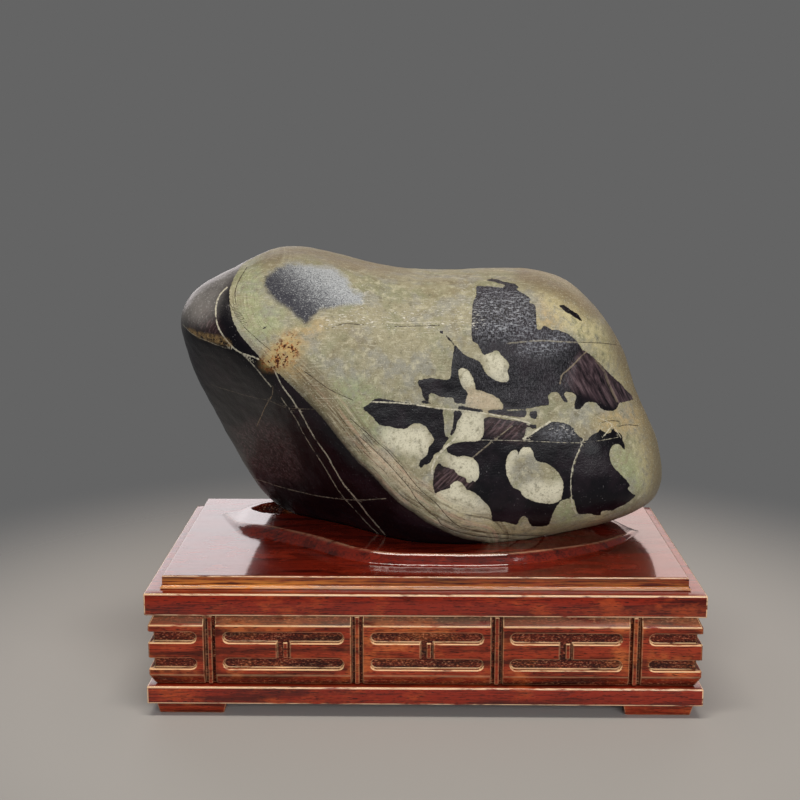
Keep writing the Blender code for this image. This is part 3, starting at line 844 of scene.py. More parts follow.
@dataclass(frozen=True)
class RiverStone:
    """River-tumbled stone: olive skin over a near-black core, rubbed with oil until it shines.

    The skin is dull and mottled, the dark core takes a glassy polish, and both carry
    pale mineral veins, rust stains and a frosted, grainy patch on the crown. The frosted
    patch's pale blue-grey is a painted sheen that falls off to a painted shade, and painted
    sheens, glints, highlights along the crease, rim light and shade are laid over the rest.
    """

    skin: str = "A19A7E"
    core: str = "0D0B11"
    # The frosted patch's pale blue-grey, a painted sheen.
    frost_sheen: str = "B9BDC0"
    vein_cream: str = "D6D0BA"
    ior: float = 1.5
    specular: float = 0.24
    skin_roughness: float = 0.46
    patterns: dict[str, Pattern] = field(default_factory=lambda: {
        "patches": Pattern(70, 5, shift=9.2),
        "drift": Pattern(50, 3, shift=4.1),
        "clouds": Pattern(28, 4),
        "greying": Pattern(17, 5, shift=7.7),
        "patchy": Pattern(10, 5, shift=6.4),
        "mottle": Pattern(4.5, 6),
        "cluster": Pattern(2.6, 3, shift=3.3),
        "ragged": Pattern(2.2, 4, shift=1.7),
        "breaks": Pattern(5, 3, shift=0.6),
        "speckle": Pattern(1.6, 3, shift=5.5),
        "fleck": Pattern(0.8, 2, shift=2.3),
        "pinpoint": Pattern(0.9, 2, shift=5.1),
        "scratch": Pattern(0.8, 3, (10, 1, 1), shift=8.8),
        "sparkle": Pattern(1.0, 2, (3, 1, 1), shift=2.9),
        "upright": Pattern(0.9, 3, (1, 1, 2.6), shift=1.2),
        "diagonal": Pattern(1.8, 4, (16, 1, 1), turn=-45),
        "steep": Pattern(2.2, 4, (14, 1, 1), turn=58),
        "layers": Pattern(1.1, 4, (1, 24, 1), over="band_place"),
        "broad layers": Pattern(4.2, 3, (1, 14, 1), shift=2.0, over="band_place"),
    })
    fields: tuple[str, ...] = (
        "dark", "own", "frost_sheen", "frost_shade_fall", "vein_side", "vein_width", "vein_tan",
        "vein_strength", "vein_near", "strata_side", "strata_near", "edge_side", "band",
        "low_down", "rust", "halo", "wedge", "shoulder_sheen", "smoke", "shade", "pale", "blush", "brown",
        "green", "grain", "painted glints", "sheen", "rim light",
    )
    # What later masks and washes are cut by, in the order that they are worked out.
    masks: dict[str, Mask] = field(default_factory=lambda: {
        "in dark": Mask({"dark": 1, "ragged": 1.8}, 0.72, 1.08),
        "seen": Mask({"own": 1}, 0.6, 0.2),
        "beside strata": Mask({"strata_near": 1}, 1.6, 0.8),
        "crack": Mask({"strata_side": 1, "ragged": 0.8}, 0.75, 0.5, ("beside strata", "seen"), 0.8),
        "beside vein": Mask({"vein_near": 1}, 1.9, 1.1),
        "unbroken": Mask({"breaks": 1}, 0.3, 0.5),
        "vein": Mask(
            {"vein_side": 1, "vein_width": -0.3, "ragged": 0.8, "speckle": 0.7}, 0.97, 0.61,
            ("beside vein", "unbroken", "vein_strength", "seen")),
        "frosted_sheen": Mask({"frost_sheen": 1, "mottle": 8, "frost_shade_fall": -1.0}, 1.2, 6.2),
        "frost grit": Mask({"fleck": 1}, 0.3, 0.7, ("frosted_sheen",)),
        "patch grit": Mask({"upright": 1}, 0.35, 0.68, ("grain", "in dark")),
        "pit": Mask({"cluster": 1, "speckle": 0.5}, 0.8, 0.88, ("rust",)),
        "lit": Mask({"sparkle": 1}, 0.55, 0.68, ("painted glints",)),
        "line": Mask({"layers": 1}, 0.57, 0.66, ("band",)),
    })
    skin_washes: Washes = (
        ("8C8D6F", Mask({"clouds": 1}, 0.45, 0.62, strength=0.75)),
        ("99978B", Mask({"greying": 1}, 0.46, 0.6, strength=0.85)),
        ("857557", Mask({"drift": 1}, 0.52, 0.68, strength=0.5)),
        ("7F7458", Mask({"patchy": 1}, 0.53, 0.68, strength=0.6)),
        ("C9C3A6", Mask({"mottle": 1}, 0.5, 0.7, strength=0.75)),
        ("6F6A52", Mask({"mottle": 1}, 0.44, 0.3, strength=0.6)),
        ("E6E1C8", Mask({"mottle": 1}, 0.22, 0.52, ("pale",), 0.88)),
        ("CDBBA0", Mask({"mottle": 1}, 0.22, 0.52, ("blush",), 0.7)),
        ("CFC394", Mask({"mottle": 1}, 0.3, 0.6, ("rim light",), 0.8)),
        ("93A472", Mask({"mottle": 1}, 0.3, 0.6, ("green",), 0.5)),
        ("736148", Mask({"mottle": 1}, 0.2, 0.5, ("brown",), 0.78)),
        ("C2A065", Mask({"mottle": 1}, 0.3, 0.6, ("halo",), 0.52)),
        ("C8A58C", Mask({"broad layers": 1}, 0.5, 0.64, ("band", "low_down"), 0.6)),
        ("6E5C42", Mask({"broad layers": 1}, 0.48, 0.36, ("band",), 0.7)),
        ("D6CFB2", Mask({"layers": 1}, 0.45, 0.36, ("band",), 0.6)),
        ("453A29", Mask({"line": 1}, 0.0, 1.0, strength=0.75)),
        ("6E6850", Mask({"speckle": 1}, 0.53, 0.68, strength=0.5)),
        ("E8E2CA", Mask({"fleck": 1, "speckle": 0.6}, 0.9, 1.04, strength=0.5)),
        ("5C543F", Mask({"fleck": 1, "speckle": 0.6}, 0.7, 0.56, strength=0.4)),
        ("D2CCB4", Mask({"scratch": 1}, 0.55, 0.7, strength=0.5)),
        ("4A4030", Mask({"pinpoint": 1}, 0.64, 0.72, strength=0.55)),
        ("41382A", Mask({"crack": 1}, 0.0, 1.0)),
        # Painted shade along the body's edge, low down, where the skin rounds over into the dark body.
        ("241D18", Mask({"edge_side": 1, "mottle": 5}, -2.2, 2.6, ("low_down",), 0.85)),
    )
    core_washes: Washes = (
        ("1F171E", Mask({"clouds": 1}, 0.45, 0.65)),
        ("4E3A38", Mask({"mottle": 1}, 0.25, 0.6, ("smoke",), 0.5)),
        ("8A7074", Mask({"diagonal": 1}, 0.49, 0.63, ("smoke",), 0.45)),
        ("57464B", Mask({"steep": 1}, 0.3, 0.6, ("shade",), 0.75)),
        ("857074", Mask({"steep": 1}, 0.52, 0.66, ("shade",), 0.4)),
        # Painted sheen on the shoulder, with pale specks in it.
        ("918D89", Mask({"clouds": 1}, 0.1, 0.6, ("shoulder_sheen",), 0.72)),
        ("B9B6B4", Mask({"speckle": 1}, 0.54, 0.7, ("shoulder_sheen",), 0.5)),
        ("525159", Mask({"clouds": 1}, 0.2, 0.6, ("grain",), 0.1)),
        ("858790", Mask({"upright": 1}, 0.44, 0.6, ("sheen",), 0.5)),
        ("C6CAD2", Mask({"sparkle": 1}, 0.54, 0.64, ("sheen",), 0.5)),
        ("7C7B82", Mask({"patch grit": 1}, 0.2, 1.0, strength=0.2)),
        ("8A8688", Mask({"pinpoint": 1, "speckle": 0.4}, 0.9, 0.96, strength=0.6)),
    )
    # Over the frosted patch's painted sheen: a painted shade towards its dark end, dark grains, and pale grains as
    # painted glints.
    frost_sheen_and_shade_washes: Washes = (
        ("2B2A33", Mask({"frost_shade_fall": 1, "mottle": 0.5}, 0.4, 1.2)),
        ("45464F", Mask({"fleck": 1, "frost_shade_fall": -0.2}, 0.46, 0.28, strength=0.8)),
        ("DADDDF", Mask({"fleck": 1}, 0.55, 0.72, strength=0.5)),
    )
    last_washes: Washes = (
        ("C2A568", Mask({"mottle": 1}, 0.2, 0.5, ("rust",), 0.6)),
        ("A65A24", Mask({"cluster": 1}, 0.48, 0.58, ("rust",), 0.85)),
        ("43200F", Mask({"pit": 1}, 0.0, 0.8)),
        ("A88A5C", Mask({"mottle": 1, "fleck": 0.6}, 0.62, 0.95, ("wedge",), 0.95)),
        # Painted glints.
        ("F0EBDD", Mask({"lit": 1}, 0.0, 1.0, strength=0.75)),
    )
    vein_washes: Washes = (
        ("8F7048", Mask({"vein_tan": 1}, 0.0, 1.0)),
        ("8E8A7C", Mask({"speckle": 1}, 0.5, 0.62, strength=0.6)),
    )
    # How far each source stands out, in millimetres.
    relief: dict[str, float] = field(default_factory=lambda: {
        "speckle": 0.14, "scratch": 0.08, "vein": 0.10, "crack": -0.2, "line": -0.2, "pit": -0.6,
        "frost grit": 0.30, "patch grit": 0.14, "lit": 0.25,
    })
    # How much rougher each source makes the skin.
    dulling: dict[str, float] = field(default_factory=lambda: {
        "in dark": -0.2, "mottle": 0.12, "frosted_sheen": 0.1,
    })
    # The back's own patches: how many millimetres deep they grow for each unit of their noise.
    patch_steepness: float = 230.0

    def build(self) -> bpy.types.Material:
        """Makes the material.

        Returns:
            The material, which reads the fields that StonePattern writes on the mesh.
        """
        surface = Surface("oiled river stone", self.patterns, self.fields)
        tree, sources = surface.tree, surface.sources
        for key in ("vein_side", "strata_side"):
            sources[key] = add_node(tree, "Math", {0: sources[key]}, operation="ABSOLUTE")
        patches = surface.total({"patches": self.patch_steepness}, -self.patch_steepness / 2)
        sources["dark"] = add_node(tree, "Mix", {0: sources["own"], 2: sources["dark"], 3: patches})
        for key, mask in self.masks.items():
            sources[key] = surface.masked(mask)
        colour = surface.washed(self.skin, self.skin_washes)
        for key, base, washes in (
            ("in dark", self.core, self.core_washes), ("frosted_sheen", self.frost_sheen, self.frost_sheen_and_shade_washes),
            ("vein", self.vein_cream, self.vein_washes),
        ):
            over = surface.washed(base, washes)
            colour = add_node(tree, "Mix", {0: sources[key], 6: colour, 7: over}, data_type="RGBA")
        colour = surface.washed(colour, self.last_washes)
        surface.shader.inputs["IOR"].default_value = self.ior
        surface.shader.inputs["Specular IOR Level"].default_value = self.specular
        roughness = surface.total(self.dulling, self.skin_roughness)
        return surface.completed(colour, roughness, surface.total(self.relief))


class Grain(Enum):
    """The direction that a piece's wood grain runs in."""

    LENGTHWISE = 0
    CROSSWISE = 1


@dataclass(frozen=True)
class LacqueredWood:
    """Rosewood-like hardwood under a hand-rubbed red lacquer.

    The lacquer is glossy and a little wavy and dark where the pores filled. Its edges are paler
    with a painted highlight and some wear, its recesses darker with a painted shade, and a painted
    golden reflection runs along the seat board's front.
    """

    name: str
    grain: Grain = Grain.LENGTHWISE
    red: str = "7C2010"
    dark: str = "380D08"
    bright: str = "A83C18"
    pore: str = "180605"
    highlight_and_wear: str = "F0C8A0"
    gold_and_reflection: str = "F29A3C"
    recess_shade: str = "120504"
    # The lacquer's roughness, and how much rougher the wood under it is, evenly and in blotches.
    gloss: float = 0.1
    under_lacquer: float = 0.03
    blotch_dulling: float = 0.25
    coat: float = 1.0
    coat_ior: float = 1.5
    specular: float = 0.1
    edge_highlight_and_wear: float = 0.9
    # How far apart the patterns are drawn from, so that they don't line up.
    pattern_shift: float = 1.7
    # Each pattern's length along the grain and width across it, in millimetres, and its detail.
    figures: dict[str, tuple[float, float, float]] = field(default_factory=lambda: {
        "figure": (60, 6, 4), "fine": (26, 0.7, 3), "pores": (4.5, 0.45, 1), "blotch": (26, 16, 4),
        "flecks": (1.9, 0.8, 2), "rubbing": (16, 3, 3), "wave": (40, 5, 2), "ripple": (6, 2.2, 3),
    })
    # How far each pattern stands out, in millimetres.
    relief: dict[str, float] = field(default_factory=lambda: {
        "wave": 0.07, "ripple": 0.02, "fine": 0.012,
    })

    def build(self) -> bpy.types.Material:
        """Makes the material.

        Returns:
            The material, which reads a piece's fields for its painted highlights and wear, its gold and painted
            golden reflection, and its painted shade in recesses, where it has them.
        """
        patterns = {}
        for shift, (key, (length, width, detail)) in enumerate(self.figures.items()):
            stretch = [1.0, 1.0, 1.0]
            stretch[self.grain.value] = length / width
            patterns[key] = Pattern(width, detail, tuple(stretch), self.pattern_shift * shift)
        surface = Surface(self.name, patterns, ("edge", "gold_and_reflection", "sunk"))
        colour = surface.washed(self.red, (
            (self.dark, Mask({"figure": 1}, 0.44, 0.66, strength=0.85)),
            (self.bright, Mask({"blotch": 1}, 0.5, 0.7, strength=0.75)),
            (self.dark, Mask({"fine": 1}, 0.5, 0.66, strength=0.75)),
            (self.pore, Mask({"pores": 1}, 0.58, 0.68, strength=0.8)),
            # Gold, and the seat board's painted golden reflection.
            (self.gold_and_reflection, Mask({"fine": 1, "rubbing": 0.4}, 0.86, 0.6, ("gold_and_reflection",), 0.9)),
            # Painted shade in recesses, with pale flecks of wear and painted glints.
            (self.recess_shade, Mask({"flecks": 1, "ripple": 0.4}, 0.94, 0.56, ("sunk",), 0.86)),
            (self.highlight_and_wear, Mask({"flecks": 1, "ripple": 0.4}, 0.74, 0.96, ("sunk",), 0.36)),
            # Painted highlight and wear along edges.
            (self.highlight_and_wear, Mask({"rubbing": 1}, 0.3, 0.5, ("edge",), self.edge_highlight_and_wear)),
        ))
        for socket, value in (
            ("Specular IOR Level", self.specular), ("Coat Weight", self.coat),
            ("Coat Roughness", self.gloss / 2), ("Coat IOR", self.coat_ior),
        ):
            surface.shader.inputs[socket].default_value = value
        roughness = surface.total({"blotch": self.blotch_dulling}, self.gloss + self.under_lacquer)
        return surface.completed(colour, roughness, surface.total(self.relief))


def adopted(name: str, node: str) -> bpy.types.Object:
    """Copies a CAD node's mesh into a new piece and welds its loose triangles.

    Args:
        name: The piece's name.
        node: The CAD node's name.

    Returns:
        The piece, at the origin, with no material.
    """
    mesh = bpy.data.objects[node].data.copy()
    mesh.materials.clear()
    piece = bpy.data.objects.new(name, mesh)
    bpy.context.scene.collection.objects.link(piece)
    with editing(piece):
        bpy.ops.mesh.select_all(action="SELECT")
        bpy.ops.mesh.remove_doubles(threshold=0.01 * MM)
    return piece


def dress(piece: bpy.types.Object, finish: bpy.types.Material, node: str) -> None:
    """Gives a piece its finish and places it in the frame as a CAD node's stand-in."""
    piece.data.materials.clear()
    piece.data.materials.append(finish)
    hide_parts(node)
    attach(piece, BODY)
    log.info("%s stands for %s, %d faces", piece.name, node, len(piece.data.polygons))


@dataclass(frozen=True)
class Stone:
    """The stone: the worn solid, with its skin's relief and pattern."""

    eye: Eye
    pattern: StonePattern = field(default_factory=StonePattern)
    # The largest corner and skew that two triangles have where they join into a four-sided face.
    quad_corner: float = 60.0
    quad_skew: float = 80.0
    coarse_levels: int = 2
    refined_facing: float = -0.25
    # The relief's own noise: how fast its octaves fade, and how much finer each one is.
    octave_fade: float = 0.9
    octave_step: float = 2.0
    undulation: float = 0.45
    undulation_size: float = 26.0
    undulation_sink: float = 0.6
    ripple: float = 0.12
    ripple_size: float = 6.0
    # Along the crease, its height and how much of that is even and how much rippled.
    crease_height: float = 0.45
    crease_width: float = 2.4
    crease_even: float = 0.8
    crease_rippled: float = 0.5
    # The streaks' ledges: their height, how far apart and how crooked they are, and the
    # distances from the body's edge that they set in and fade out over.
    ledge_height: float = 0.35
    ledge_spacing: float = 6.5
    ledge_wander: float = 0.35
    ledge_start: tuple[float, float] = (0.0, 3.0)
    ledge_fade: tuple[float, float] = (15.6, 26.0)
    strata_depth: float = 0.3
    strata_width: float = 1.1
    strata_rippled: float = 0.6
    # The dark body lies a step lower than the skin, down this far each side of its edge.
    step_height: float = 0.35
    step_zone: tuple[float, float] = (-0.6, 1.2)
    pit_depth: float = 0.9
    pit_size: float = 2.4
    pit_least: float = 0.05
    pit_steepness: float = 2.5
    seat_clearance: float = 8.0

    def relief(self, places: np.ndarray, fields: dict[str, np.ndarray]) -> np.ndarray:
        """Works out how far the surface stands out at each vertex, in millimetres.

        Args:
            places: The vertices in millimetres.
            fields: The pattern's fields there.

        Returns:
            The distance out along each vertex's normal, never proud near the seat.
        """
        def lumps(size: float, octaves: int) -> np.ndarray:
            """Samples smooth noise, mostly from -1 to 1, whose lumps measure size."""
            return np.array([
                noise.fractal(Vector(p) / size, self.octave_fade, self.octave_step, octaves)
                for p in places])

        seen = 1 - fields["own"]
        out = self.undulation * (lumps(self.undulation_size, 3) - self.undulation_sink)
        ripple = lumps(self.ripple_size, 2)
        out += self.ripple * ripple
        crease = np.exp(-((fields["crease_near"] / self.crease_width) ** 2))
        crease *= self.crease_even + self.crease_rippled * ripple
        out += seen * self.crease_height * crease
        strata = np.exp(-((fields["strata_near"] / self.strata_width) ** 2))
        out -= seen * self.strata_depth * strata * (1 + self.strata_rippled * ripple)
        away, low_down = -fields["edge_side"], fields["low_down"]
        band = smooth_step(*self.ledge_start, away) * (1 - smooth_step(*self.ledge_fade, away))
        ledge = np.mod(away / self.ledge_spacing + self.ledge_wander * ripple, 1.0)
        out -= seen * low_down * band * self.ledge_height * ledge
        out -= seen * self.step_height * smooth_step(*self.step_zone, -away) * low_down
        pits = self.pit_steepness * np.maximum(lumps(self.pit_size, 1) - self.pit_least, 0)
        out -= seen * fields["rust"] * self.pit_depth * np.minimum(pits, 1)
        base = places[:, 2].min()
        lift = smooth_step(base + self.seat_clearance, base + 3 * self.seat_clearance, places[:, 2])
        return np.where(out > 0, out * lift, out)

    def build(self, finish: bpy.types.Material) -> bpy.types.Object:
        """Models the stone.

        Args:
            finish: The stone's material.

        Returns:
            The finished piece.
        """
        piece = adopted("river_stone", "stone")
        with editing(piece):
            bpy.ops.mesh.select_all(action="SELECT")
            bpy.ops.mesh.tris_convert_to_quads(
                face_threshold=math.radians(self.quad_corner),
                shape_threshold=math.radians(self.quad_skew))
        levels = self.coarse_levels
        apply_modifier(piece, "SUBSURF", levels=levels, render_levels=levels)
        mesh = piece.data
        centres, normals = triples(mesh.polygons, "center"), triples(mesh.polygons, "normal")
        facing = self.eye.facing(centres / MM, normals)
        subdivide(piece, "FACE", facing > self.refined_facing, 1)
        places, normals = triples(mesh.vertices) / MM, triples(mesh.vertices, "normal")
        fields = self.pattern.measure(places, normals, self.eye)
        out = self.relief(places, fields)
        write_places(mesh, (places + normals * out[:, None]) * MM)
        fields.pop("crease_near")
        along = fields.pop("edge_along")
        streaks = mesh.attributes.new("band_place", "FLOAT_VECTOR", "POINT")
        streak_places = np.stack([fields["edge_side"], along, np.zeros(len(along))], axis=1) * MM
        streaks.data.foreach_set("vector", streak_places.astype(np.float32).ravel())
        for name, values in fields.items():
            write_values(mesh, name, values)
        mesh.shade_smooth()
        dress(piece, finish, "stone")
        return piece


@dataclass(frozen=True)
class SeatBoard:
    """The upper board, with the leaf-shaped swelling that the stone's seat is carved in."""

    # Each station along the leaf: the foot of its front slope, the rim above it and the foot
    # of its back slope in plan, and the height of the rim.
    stations: tuple[tuple[Place, Place, Place, float], ...] = (
        ((-151, 49), (-149.5, 49.5), (-149, 52), 0.9),
        ((-141, 22), (-139, 25.5), (-139, 60), 2.2),
        ((-128, -6), (-129, 10), (-126, 68), 4.8),
        ((-115, -16), (-115.5, 1), (-112, 73), 6.4),
        ((-101, -23), (-101, -11.5), (-100, 76), 7.5),
        ((-75, -39), (-75, -32.5), (-76, 80), 8.3),
        ((-58, -55.5), (-59, -47), (-56, 83), 8.2),
        ((-41, -66.3), (-41, -60.8), (-38, 84), 7.8),
        ((-22, -71.3), (-22, -66.4), (-24, 85), 7.2),
        ((4, -72.5), (4, -67.8), (4, 86), 7.0),
        ((36, -72.8), (36, -68), (34, 85), 7.0),
        ((62, -69), (62, -64.2), (62, 80), 7.0),
        ((90, -58), (89, -53), (90, 70), 6.6),
        ((119, -40), (117, -36), (116, 56), 5.2),
        ((139, -19), (136.5, -15), (136, 36), 3.6),
        ((154, 8), (152, 9), (152, 12), 0.8),
    )
    hollow: Points = (
        (-130, 50), (-124, 40), (-115, 31), (-103, 26), (-90, 30), (-84, 42), (-90, 56),
        (-104, 63), (-118, 60), (-125, 56),
    )
    # The front slope's profile, with gentler facets at its foot and rim to catch the light.
    slope: Points = (
        (0.0, 0.0), (0.1, 0.062), (0.2, 0.127), (0.26, 0.2), (0.44, 0.46), (0.62, 0.72),
        (0.72, 0.83), (0.82, 0.895), (0.95, 0.979), (1.0, 1.0),
    )
    slope_points: int = 120
    least_run: float = 0.5
    back_slope: float = 6.0
    # The chisel's wander along the slope's foot, as a share of the slope, its size, and the
    # row of the noise that it follows.
    wander: float = 0.08
    wander_size: float = 3.2
    wander_row: tuple[float, float] = (0.3, 0.7)
    # How many points the leaf's curves have, in all and for each station along the rim.
    leaf_points: int = 400
    rim_steps: int = 3
    thickness: float = 8.2
    hollow_steps: int = 4
    hollow_depth: float = 9.8
    hollow_wall: float = 3.0
    hollow_lip: float = 0.3
    # The seat is cut this far below the stone, which is looked for from well under the board.
    seat_gap: float = 0.4
    seat_search: float = 40.0
    least_height: float = 0.01
    flare: float = 1.3
    edge_rounding: float = 0.8
    edge_turns: tuple[float, ...] = (30.0, 60.0, 90.0)
    # Below the rounding: how much of the flare each ring has, and its height over the underside.
    edge_rings: Points = ((0.0, 7.0), (0.0, 1.7), (0.4, 1.2), (1.0, 0.9), (1.0, 0.0))
    sharp_turn: float = 38.0
    columns: int = 300
    # Rows of faces up to each place from front to back, closest where the leaf's slope is steep.
    rows: tuple[int, ...] = (0, 8, 118, 188, 268)
    row_places: tuple[float, ...] = (-82.0, -50.0, 0.0)
    # How far in from the board's front its face reaches.
    front_face: tuple[float, float] = (0.4, 0.1)
    # The band of painted golden reflection along the front and the painted highlight line under it, as shares of
    # the thickness.
    golden_reflection_band: tuple[float, float] = (0.3, 0.55)
    reflection_lost_above: float = 0.75
    pale_line: tuple[float, float] = (0.1, 0.17)
    pale_line_highlight: float = 0.5
    # How much of the painted golden reflection is lost to the right, and where.
    reflection_lost_right: float = 0.55
    reflection_turn: tuple[float, float] = (-120.0, 20.0)
    # Where the hollow turns from its painted shade to gold, to the right, and how golden it gets.
    hollow_turn: tuple[float, float] = (-108.0, -100.0)
    hollow_gold: float = 0.6
    hollow_edge: float = 0.6
    # The arris of the top, with its painted highlight and wear: how far out it sets in, and how high on the edge.
    arris_out: tuple[float, float] = (0.1, 0.5)
    arris_up: tuple[float, float] = (0.88, 0.97)
    # The painted highlight and wear along the leaf's rim: the distances over which it fades, and its strength.
    rim_line: tuple[float, float] = (0.4, 1.1)
    rim_highlight_and_wear: float = 0.3

    def leaf_curves(self, count: int) -> np.ndarray:
        """Gives the leaf's foot, rim and back in plan and its height, each as rows of a curve."""
        return curve_through([(*f, *r, *b, h) for f, r, b, h in self.stations], count).T

    def leaf_height(self, x: np.ndarray, y: np.ndarray) -> np.ndarray:
        """Gives the swelling's height over the board at places in plan."""
        fx, fy, rx, ry, bx, by, h = self.leaf_curves(self.leaf_points)
        foot, rim = np.interp(x, fx, fy, left=np.nan, right=np.nan), np.interp(x, rx, ry)
        back, height = np.interp(x, bx, by), np.interp(x, rx, h)
        profile = curve_through(self.slope, self.slope_points)
        share = (y - foot) / np.maximum(rim - foot, self.least_run)
        wander = np.array([
            noise.noise(Vector((place / self.wander_size, *self.wander_row))) for place in x])
        share -= self.wander * wander * np.clip(1 - share, 0, 1)
        front = np.interp(share, *profile.T)
        behind = np.interp((back - y) / self.back_slope, *profile.T)
        return np.nan_to_num(height * np.minimum(front, behind))

    def hollow_reach(self, x: np.ndarray, y: np.ndarray) -> np.ndarray:
        """Gives how far inside the pointed hollow places in plan lie."""
        count = self.hollow_steps * len(self.hollow)
        outline = curve_through([*self.hollow, self.hollow[0]], count)
        return depth_inside(np.stack([x, y], axis=1), outline, self.hollow_wall)

    def heights(self, x: np.ndarray, y: np.ndarray, top: float,
                stone: bpy.types.Object) -> np.ndarray:
        """Gives the board's surface with the leaf, the stone's seat and the hollow.

        Args:
            x: Places to the right, in millimetres.
            y: Places to the back.
            top: The height of the board's plain top.
            stone: The stone that the seat is carved to.

        Returns:
            The height of the surface at each place.
        """
        z = top + self.leaf_height(x, y)
        depth = self.hollow_reach(x, y)
        floor = top + max(h for *_, h in self.stations) - self.hollow_depth
        wall = smooth_step(-self.hollow_lip, self.hollow_wall, depth)
        z = np.where(depth > -self.hollow_lip, np.minimum(z, z + (floor - z) * wall), z)
        tree = BVHTree.FromPolygons(
            [v.co for v in stone.data.vertices], [tuple(p.vertices) for p in stone.data.polygons])
        for i in np.flatnonzero(z > top + self.least_height):
            start = Vector((x[i], y[i], top - self.seat_search)) * MM
            hit, *_ = tree.ray_cast(start, Vector((0, 0, 1)))
            if hit is not None:
                z[i] = min(z[i], hit.z / MM - self.seat_gap)
        return z

    def build(self, finish: bpy.types.Material, stone: bpy.types.Object) -> bpy.types.Object:
        """Models the board.

        Args:
            finish: The board's material.
            stone: The finished stone, whose underside the seat follows.

        Returns:
            The finished piece.
        """
        low, high = (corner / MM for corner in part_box("seat_board"))
        bottom, top = low.z, low.z + self.thickness
        half_x, half_y = high.x - self.flare, high.y - self.flare
        inner_x, inner_y = half_x - self.edge_rounding, half_y - self.edge_rounding
        bpy.ops.mesh.primitive_grid_add(
            x_subdivisions=self.columns, y_subdivisions=self.rows[-1], size=2)
        piece = bpy.context.object
        piece.name = "carved_seat_board"
        places = triples(piece.data.vertices)
        row = (places[:, 1] + 1) / 2 * self.rows[-1]
        x = places[:, 0] * inner_x
        y = np.interp(row, self.rows, (-inner_y, *self.row_places, inner_y))
        z = self.heights(x, y, top, stone)
        write_places(piece.data, np.stack([x, y, z], axis=1) * MM)
        self.wrap_edge(piece, inner_x, inner_y, half_x, half_y, top, bottom)
        self.mark_painted_light_and_wear(piece.data, inner_x, inner_y, bottom)
        smooth_below(piece, self.sharp_turn)
        dress(piece, finish, "seat_board")
        return piece

    def mark_painted_light_and_wear(self, mesh: bpy.types.Mesh, inner_x: float, inner_y: float,
                  bottom: float) -> None:
        """Writes where the board has its painted golden reflection and gold, its painted shade in the hollow, and
        its painted highlights and wear.

        Args:
            mesh: The board's finished mesh.
            inner_x: Half the top's width where the edge's rounding starts.
            inner_y: Half its depth there.
            bottom: The height of the underside.
        """
        places = triples(mesh.vertices) / MM
        x, y = places[:, 0], places[:, 1]
        share = (places[:, 2] - bottom) / self.thickness
        half_y = inner_y + self.edge_rounding
        front = smooth_step(*(half_y - inset for inset in self.front_face), -y)
        strength = 1 - self.reflection_lost_right * smooth_step(*self.reflection_turn, x)
        hollow = smooth_step(-self.hollow_lip, self.hollow_edge, self.hollow_reach(x, y))
        golden_part = smooth_step(*self.hollow_turn, x)
        band = front * strength * (1 - self.reflection_lost_above * smooth_step(*self.golden_reflection_band, share))
        write_values(mesh, "gold_and_reflection", np.maximum(band, self.hollow_gold * hollow * golden_part))
        # Painted shade in the hollow, on its left.
        write_values(mesh, "sunk", hollow * (1 - golden_part))
        reach = np.hypot(np.maximum(np.abs(x) - inner_x, 0), np.maximum(np.abs(y) - inner_y, 0))
        arris = smooth_step(*self.arris_out, reach) * smooth_step(*self.arris_up, share)
        # Painted highlight line along the bottom of the board's front.
        line = self.pale_line_highlight * front * (1 - smooth_step(*self.pale_line, share))
        _, _, rim_x, rim_y, *_ = self.leaf_curves(self.rim_steps * len(self.stations))
        rim_near, *_ = line_offsets(places[:, :2], [np.stack([rim_x, rim_y], axis=1)])
        highlight_and_wear = self.rim_highlight_and_wear * (1 - smooth_step(*self.rim_line, rim_near)) * (share > 1)
        write_values(mesh, "edge", np.maximum.reduce([arris, line, highlight_and_wear]))

    def wrap_edge(self, piece: bpy.types.Object, inner_x: float, inner_y: float,
                  half_x: float, half_y: float, top: float, bottom: float) -> None:
        """Draws the top's border out and down round the board's edge and closes the underside.

        Args:
            piece: The board, so far only its top.
            inner_x: Half the top's width where the rounding starts.
            inner_y: Half its depth there.
            half_x: Half the board's width below the rounding.
            half_y: Half its depth there.
            top: The height of the top.
            bottom: The height of the underside.
        """
        rings = []
        for turn in map(math.radians, self.edge_turns):
            out = self.edge_rounding * math.sin(turn)
            down = self.edge_rounding * (1 - math.cos(turn))
            rings.append((inner_x + out, inner_y + out, top - down))
        for out, up in self.edge_rings:
            grown = out * self.flare
            rings.append((half_x + grown, half_y + grown, bottom + up))
        with editing(piece):
            bpy.ops.mesh.select_mode(type="EDGE")
            bpy.ops.mesh.select_non_manifold()
            was = (inner_x, inner_y, top)
            for ring in rings:
                bpy.ops.mesh.extrude_region_move(
                    TRANSFORM_OT_translate={"value": (0, 0, (ring[2] - was[2]) * MM)})
                bpy.ops.transform.resize(
                    value=(ring[0] / was[0], ring[1] / was[1], 1), center_override=(0, 0, 0))
                was = ring
            bpy.ops.mesh.edge_face_add()
            bpy.ops.mesh.select_all(action="SELECT")
            bpy.ops.mesh.normals_make_consistent(inside=False)


